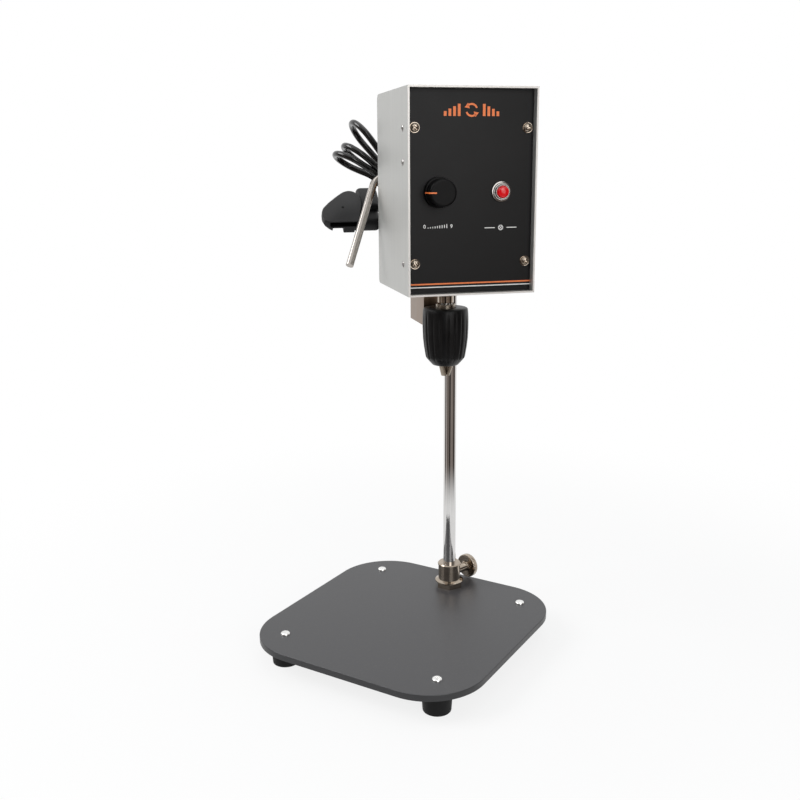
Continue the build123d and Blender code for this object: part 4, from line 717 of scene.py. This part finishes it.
def panel_screw_heads():
    """Pan heads with a crossed recess, and their shanks through the panel."""
    bm = bmesh.new()
    radius, crown, seat = 0.0036, 0.0028, -0.1228
    slot, arm = 0.00055, 0.0024  # half the recess's width and half its length
    for x in (-0.068, 0.028):
        for z in (0.3765, 0.485):
            spin = Matrix.Rotation(math.radians(17 + 40 * (x > 0) + 25 * (z > 0.4)), 4, "Z")
            grid = bmesh.ops.create_grid(bm, x_segments=18, y_segments=18, size=1.0)["verts"]
            for vert in grid:
                u, v = vert.co.x, vert.co.y
                flat = Vector((u * math.sqrt(1 - v * v / 2), v * math.sqrt(1 - u * u / 2)))
                edge = min(1.0, flat.length)
                vert.co = Vector((flat.x * radius, flat.y * radius, crown * (1 - 0.62 * edge ** 3.2)))
            rim = list({e for v in grid for e in v.link_edges if e.is_boundary})
            wall = bmesh.ops.extrude_edge_only(bm, edges=rim)["geom"]
            low = verts_in(wall)
            for vert in low:
                vert.co.z = 0.0
            bmesh.ops.contextual_create(bm, geom=[g for g in wall if isinstance(g, bmesh.types.BMEdge)
                                                  and all(v in low for v in g.verts)])
            cross = []
            for face in {f for v in grid for f in v.link_faces}:
                middle = face.calc_center_median()
                if any(v in low for v in face.verts):
                    continue
                a, b = abs(middle.x), abs(middle.y)
                if (a < slot and b < arm) or (b < slot and a < arm):
                    cross.append(face)
            deep = verts_in(bmesh.ops.extrude_face_region(bm, geom=cross)["geom"])
            bmesh.ops.delete(bm, geom=cross, context="FACES")
            for vert in deep:
                vert.co.z -= 0.0017 - 0.35 * vert.co.xy.length
            washer = add_turned(
                bm, ((0, 2.6), (0.1, 4.15), (-0.7, 4.2), (-0.8, 4.1), (-0.8, 2.6), (0, 2.6)), steps=36)
            shank = bmesh.ops.create_cone(
                bm, cap_ends=True, segments=20, radius1=0.0025, radius2=0.0025, depth=0.0115,
                matrix=Matrix.Translation((0, 0, -0.0055)))["verts"]
            place = Matrix.Translation((x, seat, z)) @ Matrix.Rotation(SQUARE, 4, "X") @ spin
            touched = {*grid, *low, *deep, *washer, *shank}
            bmesh.ops.transform(bm, matrix=place, verts=[v for v in touched if v.is_valid])
    heads = made(bm, "panel_screw_heads", "head", nickel_plate, smooth=50)
    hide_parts("panel_screws", "panel_washers")


def cord_band():
    """The band that ties the folded cord: a strap with round corners."""
    bm = bmesh.new()
    low, high = Vector((-60.0, 11.8, 427.5)) / 1000, Vector((-32.2, 37.2, 432.5)) / 1000
    size = high - low
    ground = Matrix.Translation(((low.x + high.x) / 2, (low.y + high.y) / 2, low.z))
    ground = ground @ Matrix.Diagonal((size.x / 2, size.y / 2, 1, 1))
    corners = bmesh.ops.create_grid(bm, x_segments=1, y_segments=1, size=1.0, matrix=ground)["verts"]
    bmesh.ops.bevel(bm, geom=corners, offset=0.005, segments=6, profile=0.5, affect="VERTICES", material=-1)
    top = bmesh.ops.extrude_face_region(bm, geom=list(bm.faces))["geom"]
    bmesh.ops.translate(bm, verts=verts_in(top), vec=(0, 0, size.z))
    for face in bm.faces:
        face.normal_update()
    bmesh.ops.delete(bm, geom=[f for f in bm.faces if abs(f.normal.z) > 0.5], context="FACES_ONLY")
    bmesh.ops.recalc_face_normals(bm, faces=bm.faces)
    bmesh.ops.solidify(bm, geom=list(bm.faces), thickness=0.0011)
    band = made(bm, "cord_band", "head", tie_skin)
    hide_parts("cord_tie")
    return band


speed_knob()
indicator()
blind_rivets()
thumb_screw()
chuck_grip_sleeve()
column_clamp()
panel_screw_heads()
band = cord_band()

# ---- the mains plug --------------------------------------------------------------------
# Its flat back faces up and out; places on it are in millimetres along and up the back, and depth goes in.
PLUG = HEAD @ Matrix.Translation((-0.1175, 0.028, 0.403)) @ Matrix.Rotation(math.radians(40), 4, "X")
PLUG_BACK = ((-0.5, 15.4), (1.6, 21.2), (8.1, 28.9), (15.8, 36.3), (22.5, 42.2), (26.2, 44.6), (31.1, 45.7),
             (35.4, 44.4), (39.7, 40.0), (41.1, 33.4), (40.3, 23.8), (36.8, 12.1), (33.4, 1.3), (4.8, 1.3),
             (0.4, 3.6), (-1.1, 8.5))


def plug_layers(layers, cut=None):
    """The plug's moulding in layers of (depth, size), drawn in towards the middle of its flat side."""
    bm = bmesh.new()
    corners = [bm.verts.new((a / 1000, b / 1000, -layers[0][0] / 1000)) for a, b in PLUG_BACK]
    bm.faces.new(corners)
    bmesh.ops.bevel(bm, geom=corners[:12], offset=0.0018, segments=3, profile=0.5, affect="VERTICES", material=-1)
    face = bm.faces[:][0]
    middle = Matrix.Translation((-0.020, -0.0013, 0))
    bmesh.ops.scale(bm, vec=(layers[0][1], layers[0][1], 1), space=middle, verts=face.verts[:])
    for number, (upper, lower) in enumerate(zip(layers, layers[1:])):
        grown = bmesh.ops.extrude_face_region(bm, geom=[face])["geom"]
        if number:
            bmesh.ops.delete(bm, geom=[face], context="FACES")
        face = next(g for g in grown if isinstance(g, bmesh.types.BMFace))
        size = lower[1] / upper[1]
        bmesh.ops.scale(bm, vec=(size, size, 1), space=middle, verts=face.verts[:])
        bmesh.ops.translate(bm, vec=(0, 0, (upper[0] - lower[0]) / 1000), verts=face.verts[:])
    if cut:
        place, normal = cut
        bmesh.ops.bisect_plane(bm, geom=bm.verts[:] + bm.edges[:] + bm.faces[:], plane_co=place, plane_no=normal,
                               clear_outer=True)
        bmesh.ops.holes_fill(bm, edges=[e for e in bm.edges if e.is_boundary])
    bmesh.ops.recalc_face_normals(bm, faces=bm.faces)
    return bm


def add_rounded(bm, low, high, radius):
    """A block between two corners with all its edges rounded, in millimetres."""
    verts = add_block(bm, low, high)
    edges = list({e for v in verts for e in v.link_edges})
    bmesh.ops.bevel(bm, geom=edges, offset=radius / 1000, segments=5, profile=0.5, affect="EDGES", material=-1)


def mains_plug():
    """Moulded plug: a domed back, a hollow towards its flat side, a horn and a foot beside it, and the cord grip."""
    whole = bmesh.new()
    back = plug_layers(((0.0, 0.955), (0.35, 0.985), (1.1, 1.0), (4.5, 1.0), (6.6, 0.965), (8.2, 0.9)))
    strips = [f for f in back.faces if f.normal.y < -0.99]
    flat_side = bmesh.ops.dissolve_faces(back, faces=strips)["region"]
    bmesh.ops.inset_region(back, faces=flat_side, thickness=0.0012, depth=0.0, use_even_offset=True)
    walls = bmesh.ops.inset_region(back, faces=flat_side, thickness=0.0002, depth=-0.007)
    # Painted shade: the hollow's floor and walls get the plug's darker second material.
    for face in flat_side + walls["faces"]:
        face.material_index = 1
    layers = (
        back,
        plug_layers(((8.0, 0.9), (10.0, 0.8), (11.8, 0.68), (13.0, 0.56)), cut=((0, 0.0058, 0), (0, -1, 0))),
        plug_layers(((7.9, 0.898), (9.9, 0.798), (11.7, 0.678), (12.9, 0.558)), cut=((0.0092, 0, 0), (1, 0, 0))),
    )
    for bm in layers:
        mesh = bpy.data.meshes.new("layer")
        bm.to_mesh(mesh)
        bm.free()
        whole.from_mesh(mesh)
        bpy.data.meshes.remove(mesh)
    add_rounded(whole, (20.2, 1.6, -15.6), (31.4, 12.0, -7.0), 1.0)
    add_rounded(whole, (31.0, 6.5, -20.5), (58.0, 29.0, -6.0), 4.5)
    add_rounded(whole, (38.5, 22.0, -12.0), (60.0, 52.0, -0.6), 4.8)
    plug = made(whole, "moulded_plug", "head", plug_skin, place=PLUG, smooth=40)
    plug.data.materials.append(plug_hollow_painted_shade)
    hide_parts("plug_body")

    # Painted shade: a thin dark disc on the plug's back stands for the shaded hole of its screw.
    bm = bmesh.new()
    screw = add_turned(bm, ((0.0, 0), (0.0, 1.35), (0.12, 1.3), (0.12, 0)), steps=24)
    bmesh.ops.translate(bm, vec=(0.021, 0.021, 0.0), verts=screw)
    hole_shade_disc = made(bm, "plug_screw_hole_painted_shade", "head", plug_hollow_painted_shade, place=PLUG)

    bm = bmesh.new()
    for a, b, radius, reach in ((13.5, 24.5, 2.5, 15.0), (29.5, 24.5, 2.5, 15.0), (21.5, 36.0, 3.5, 19.0)):
        pin = add_turned(bm, ((-4, 0), (-4, radius), (reach - 1.2, radius), (reach - 0.5, radius - 0.35),
                              (reach, radius - 1.1), (reach, 0)), steps=28)
        bmesh.ops.transform(bm, matrix=Matrix.Translation((a / 1000, b / 1000, -0.0125))
                            @ Matrix.Rotation(math.radians(180), 4, "X"), verts=pin)
    pins = made(bm, "round_pins", "head", pin_brass, place=PLUG)
    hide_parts("plug_pins")
    return [plug, hole_shade_disc, pins]


plug_pieces = mains_plug()

# ---- the folded mains cord -------------------------------------------------------------
CORD_EXIT = (-58, 4, 364)
CORD_COLUMNS = (-55.8, -49.4, -43.0, -36.6)
CORD_TIPS = (  # where each loop ends, half its spread, and how far its root is lifted
    ((-104.5, 466.5), 2.2, 3.0),
    ((-96.0, 474.0), 1.5, 2.0),
    ((-87.8, 495.0), 1.1, 1.0),
    ((-58.5, 489.0), 0.0, 0.0),
)


def fold(points, place, first, last):
    """One folded end of the hank, in points round the fold's middle."""
    for step in range(8):
        share = step / 7
        points.append(place(math.radians(first + (last - first) * share), share))


def cord_route():
    """Up from the gland, four loops over the band, folds below it, and out to the plug."""
    points = [CORD_EXIT, (-58, 11, 364), (-58, 20.5, 370), (-57.8, 23.5, 381), (-57.2, 21.5, 395),
              (-56.2, 17.5, 411)]
    bend = 18.5
    for number, (tip, side, lift) in enumerate(CORD_TIPS):
        column = CORD_COLUMNS[number]
        root = (column, 437 + lift)
        length = math.dist(root, tip)
        away = ((tip[0] - root[0]) / length, (tip[1] - root[1]) / length)
        cut = 9 if number < 3 else 6
        points.append((column, 16, 427))
        points.append((root[0] + cut * away[0], 15.5, root[1] + cut * away[1]))
        back = 90 + math.degrees(math.atan2(13, length - 18 - cut))

        def round_top(angle, share):
            along = length - 18 + bend * math.cos(angle)
            across = side * math.sin(angle)
            return (
                root[0] + away[0] * along - away[1] * across,
                31 + bend * math.sin(angle),
                root[1] + away[1] * along + away[0] * across,
            )

        fold(points, round_top, -94, back)
        points.append((root[0] + cut * away[0], 37, root[1] + cut * away[1]))
        if number < 3:
            points.append((column, 33.5, 427))
            shift = CORD_COLUMNS[number + 1] - column

            def round_foot(angle, share):
                return (
                    column + shift * (0.08 + 0.84 * share),
                    31 + bend * math.sin(angle),
                    389 - bend * math.cos(angle),
                )

            fold(points, round_foot, 111, -94)
    points += [(-36.6, 35, 427), (-37, 40, 417.5), (-40, 47.5, 410), (-46.5, 53.5, 406), (-55, 56.7, 405.3),
               (-62.5, 56.7, 406.2)]
    return [on_head(*point) for point in points]


def power_cord():
    route = cord_route()
    curve = bpy.data.curves.new("power_cord", "CURVE")
    curve.dimensions = "3D"
    line = curve.splines.new("NURBS")
    line.points.add(len(route) - 1)
    for point, place in zip(line.points, route):
        point.co = (*place, 1.0)
    line.order_u = 3
    line.use_endpoint_u = True
    line.resolution_u = 6
    curve.bevel_depth = 0.003
    curve.bevel_resolution = 5
    curve.use_fill_caps = True
    curve.materials.append(cord_sheath)
    cord = bpy.data.objects.new("power_cord", curve)
    bpy.context.scene.collection.objects.link(cord)
    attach(cord, "head")
    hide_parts("power_cord_lead", "cord_hank", "power_cord_tail")


power_cord()


# ---- floor, light and camera -----------------------------------------------------------
def either(tree, share, first, second):
    """One shader fading to another."""
    node = tree.nodes.new("ShaderNodeMixShader")
    for socket, source in zip(node.inputs, (share, first, second)):
        tree.links.new(source, socket)
    return node.outputs[0]


def floor():
    """A pale bench top: it takes the object's shadow, and metal meets the tent in it further out."""
    bm = bmesh.new()
    bmesh.ops.create_circle(bm, cap_ends=True, radius=6.0, segments=96)
    mesh = bpy.data.meshes.new("floor")
    bm.to_mesh(mesh)
    bm.free()
    ground = bpy.data.objects.new("floor", mesh)
    bpy.context.scene.collection.objects.link(ground)
    material = bpy.data.materials.new("floor_white")
    material.use_nodes = True
    tree = material.node_tree
    skin = tree.nodes["Principled BSDF"]
    skin.inputs["Base Color"].default_value = (0.9, 0.9, 0.9, 1)
    skin.inputs["Roughness"].default_value = 0.9
    skin.inputs["Specular IOR Level"].default_value = 0.1
    white = tree.nodes.new("ShaderNodeEmission")
    tent = tree.nodes.new("ShaderNodeEmission")
    light = tree.nodes.new("ShaderNodeLightPath")
    from_column = tree.nodes.new("ShaderNodeVectorMath")
    from_column.operation = "SUBTRACT"
    from_column.inputs[1].default_value = COLUMN
    tree.links.new(seen_where(tree), from_column.inputs[0])
    reach = tree.nodes.new("ShaderNodeVectorMath")
    reach.operation = "LENGTH"
    tree.links.new(from_column.outputs[0], reach.inputs[0])
    room = use(tree, TENT, from_column.outputs[0]).outputs["Color"]
    table = ranged(tree, reach.outputs["Value"], 0.3, 0.52, soft=True)
    tree.links.new(blended(tree, table, (0.9, 0.9, 0.9, 1), room), tent.inputs["Color"])
    fade = ranged(tree, reach.outputs["Value"], 0.2, 0.7, 0.82, 1.0, soft=True)
    seen = maths(tree, "MAXIMUM", light.outputs["Is Camera Ray"], light.outputs["Is Transmission Ray"])
    shown = either(tree, maths(tree, "MULTIPLY", seen, fade), skin.outputs[0], white.outputs[0])
    mirrored = either(tree, light.outputs["Is Glossy Ray"], shown, tent.outputs[0])
    tree.links.new(mirrored, tree.nodes["Material Output"].inputs["Surface"])
    mesh.materials.append(material)


def surroundings():
    """White to the camera and a soft sky for the diffuse light. Metal meets the tent."""
    world = bpy.data.worlds.new("studio")
    bpy.context.scene.world = world
    world.use_nodes = True
    tree = world.node_tree
    tree.nodes.clear()
    out = tree.nodes.new("ShaderNodeOutputWorld")
    soft = tree.nodes.new("ShaderNodeBackground")
    soft.inputs["Color"].default_value = (0.96, 0.98, 1.0, 1)
    soft.inputs["Strength"].default_value = 0.5
    where = tree.nodes.new("ShaderNodeTexCoord").outputs["Generated"]
    room = use(tree, TENT, where).outputs["Color"]
    ceiling = ranged(tree, axes_of(tree, where)["Z"], 0.3, 0.62, soft=True)
    tent = tree.nodes.new("ShaderNodeBackground")
    tree.links.new(blended(tree, ceiling, room, (1.0, 1.0, 1.0, 1)), tent.inputs["Color"])
    tent.inputs["Strength"].default_value = 1.0
    white = tree.nodes.new("ShaderNodeBackground")
    white.inputs["Color"].default_value = (1.0, 1.0, 1.0, 1)
    white.inputs["Strength"].default_value = 1.0
    light = tree.nodes.new("ShaderNodeLightPath")
    shiny = either(tree, light.outputs["Is Glossy Ray"], soft.outputs[0], tent.outputs[0])
    seen = maths(tree, "MAXIMUM", light.outputs["Is Camera Ray"], light.outputs["Is Transmission Ray"])
    tree.links.new(either(tree, seen, shiny, white.outputs[0]), out.inputs["Surface"])


def softbox(name, place, aim, width, height, power):
    """A soft rectangular lamp at a place, aimed at a point, in metres and watts."""
    lamp = bpy.data.lights.new(name, "AREA")
    lamp.shape = "RECTANGLE"
    lamp.size = width
    lamp.size_y = height
    lamp.energy = power
    stand = bpy.data.objects.new(name, lamp)
    bpy.context.scene.collection.objects.link(stand)
    stand.location = place
    stand.rotation_euler = (Vector(aim) - Vector(place)).to_track_quat("-Z", "Y").to_euler()


def camera():
    """The camera, at the height of the head and to the right of the plate."""
    yaw, pitch, roll = 0.5451, -0.2409, -0.0078
    place = Matrix.Translation((0.43835, -0.73146, 0.45599))
    ahead = Vector((-math.sin(yaw) * math.cos(pitch), math.cos(yaw) * math.cos(pitch), math.sin(pitch)))
    right = Vector((math.cos(yaw), math.sin(yaw), 0))
    up = right.cross(ahead)
    right, up = right * math.cos(roll) + up * math.sin(roll), up * math.cos(roll) - right * math.sin(roll)
    lens = bpy.data.cameras.new("camera")
    lens.lens = 43.04
    lens.sensor_width = 36.0
    eye = bpy.data.objects.new("camera", lens)
    bpy.context.scene.collection.objects.link(eye)
    eye.matrix_world = place @ Matrix((right, up, -ahead)).transposed().to_4x4()
    bpy.context.scene.camera = eye


floor()
surroundings()
softbox("key", (-1.3, -1.0, 1.5), (0, 0, 0.3), 1.1, 1.1, 21)
softbox("fill", (1.5, -1.2, 0.9), (0, 0, 0.3), 1.2, 1.4, 14)
softbox("top", (0.1, 0.3, 1.9), (0, 0, 0.2), 1.4, 1.4, 4)
camera()
bpy.context.scene.view_settings.view_transform = "Standard"
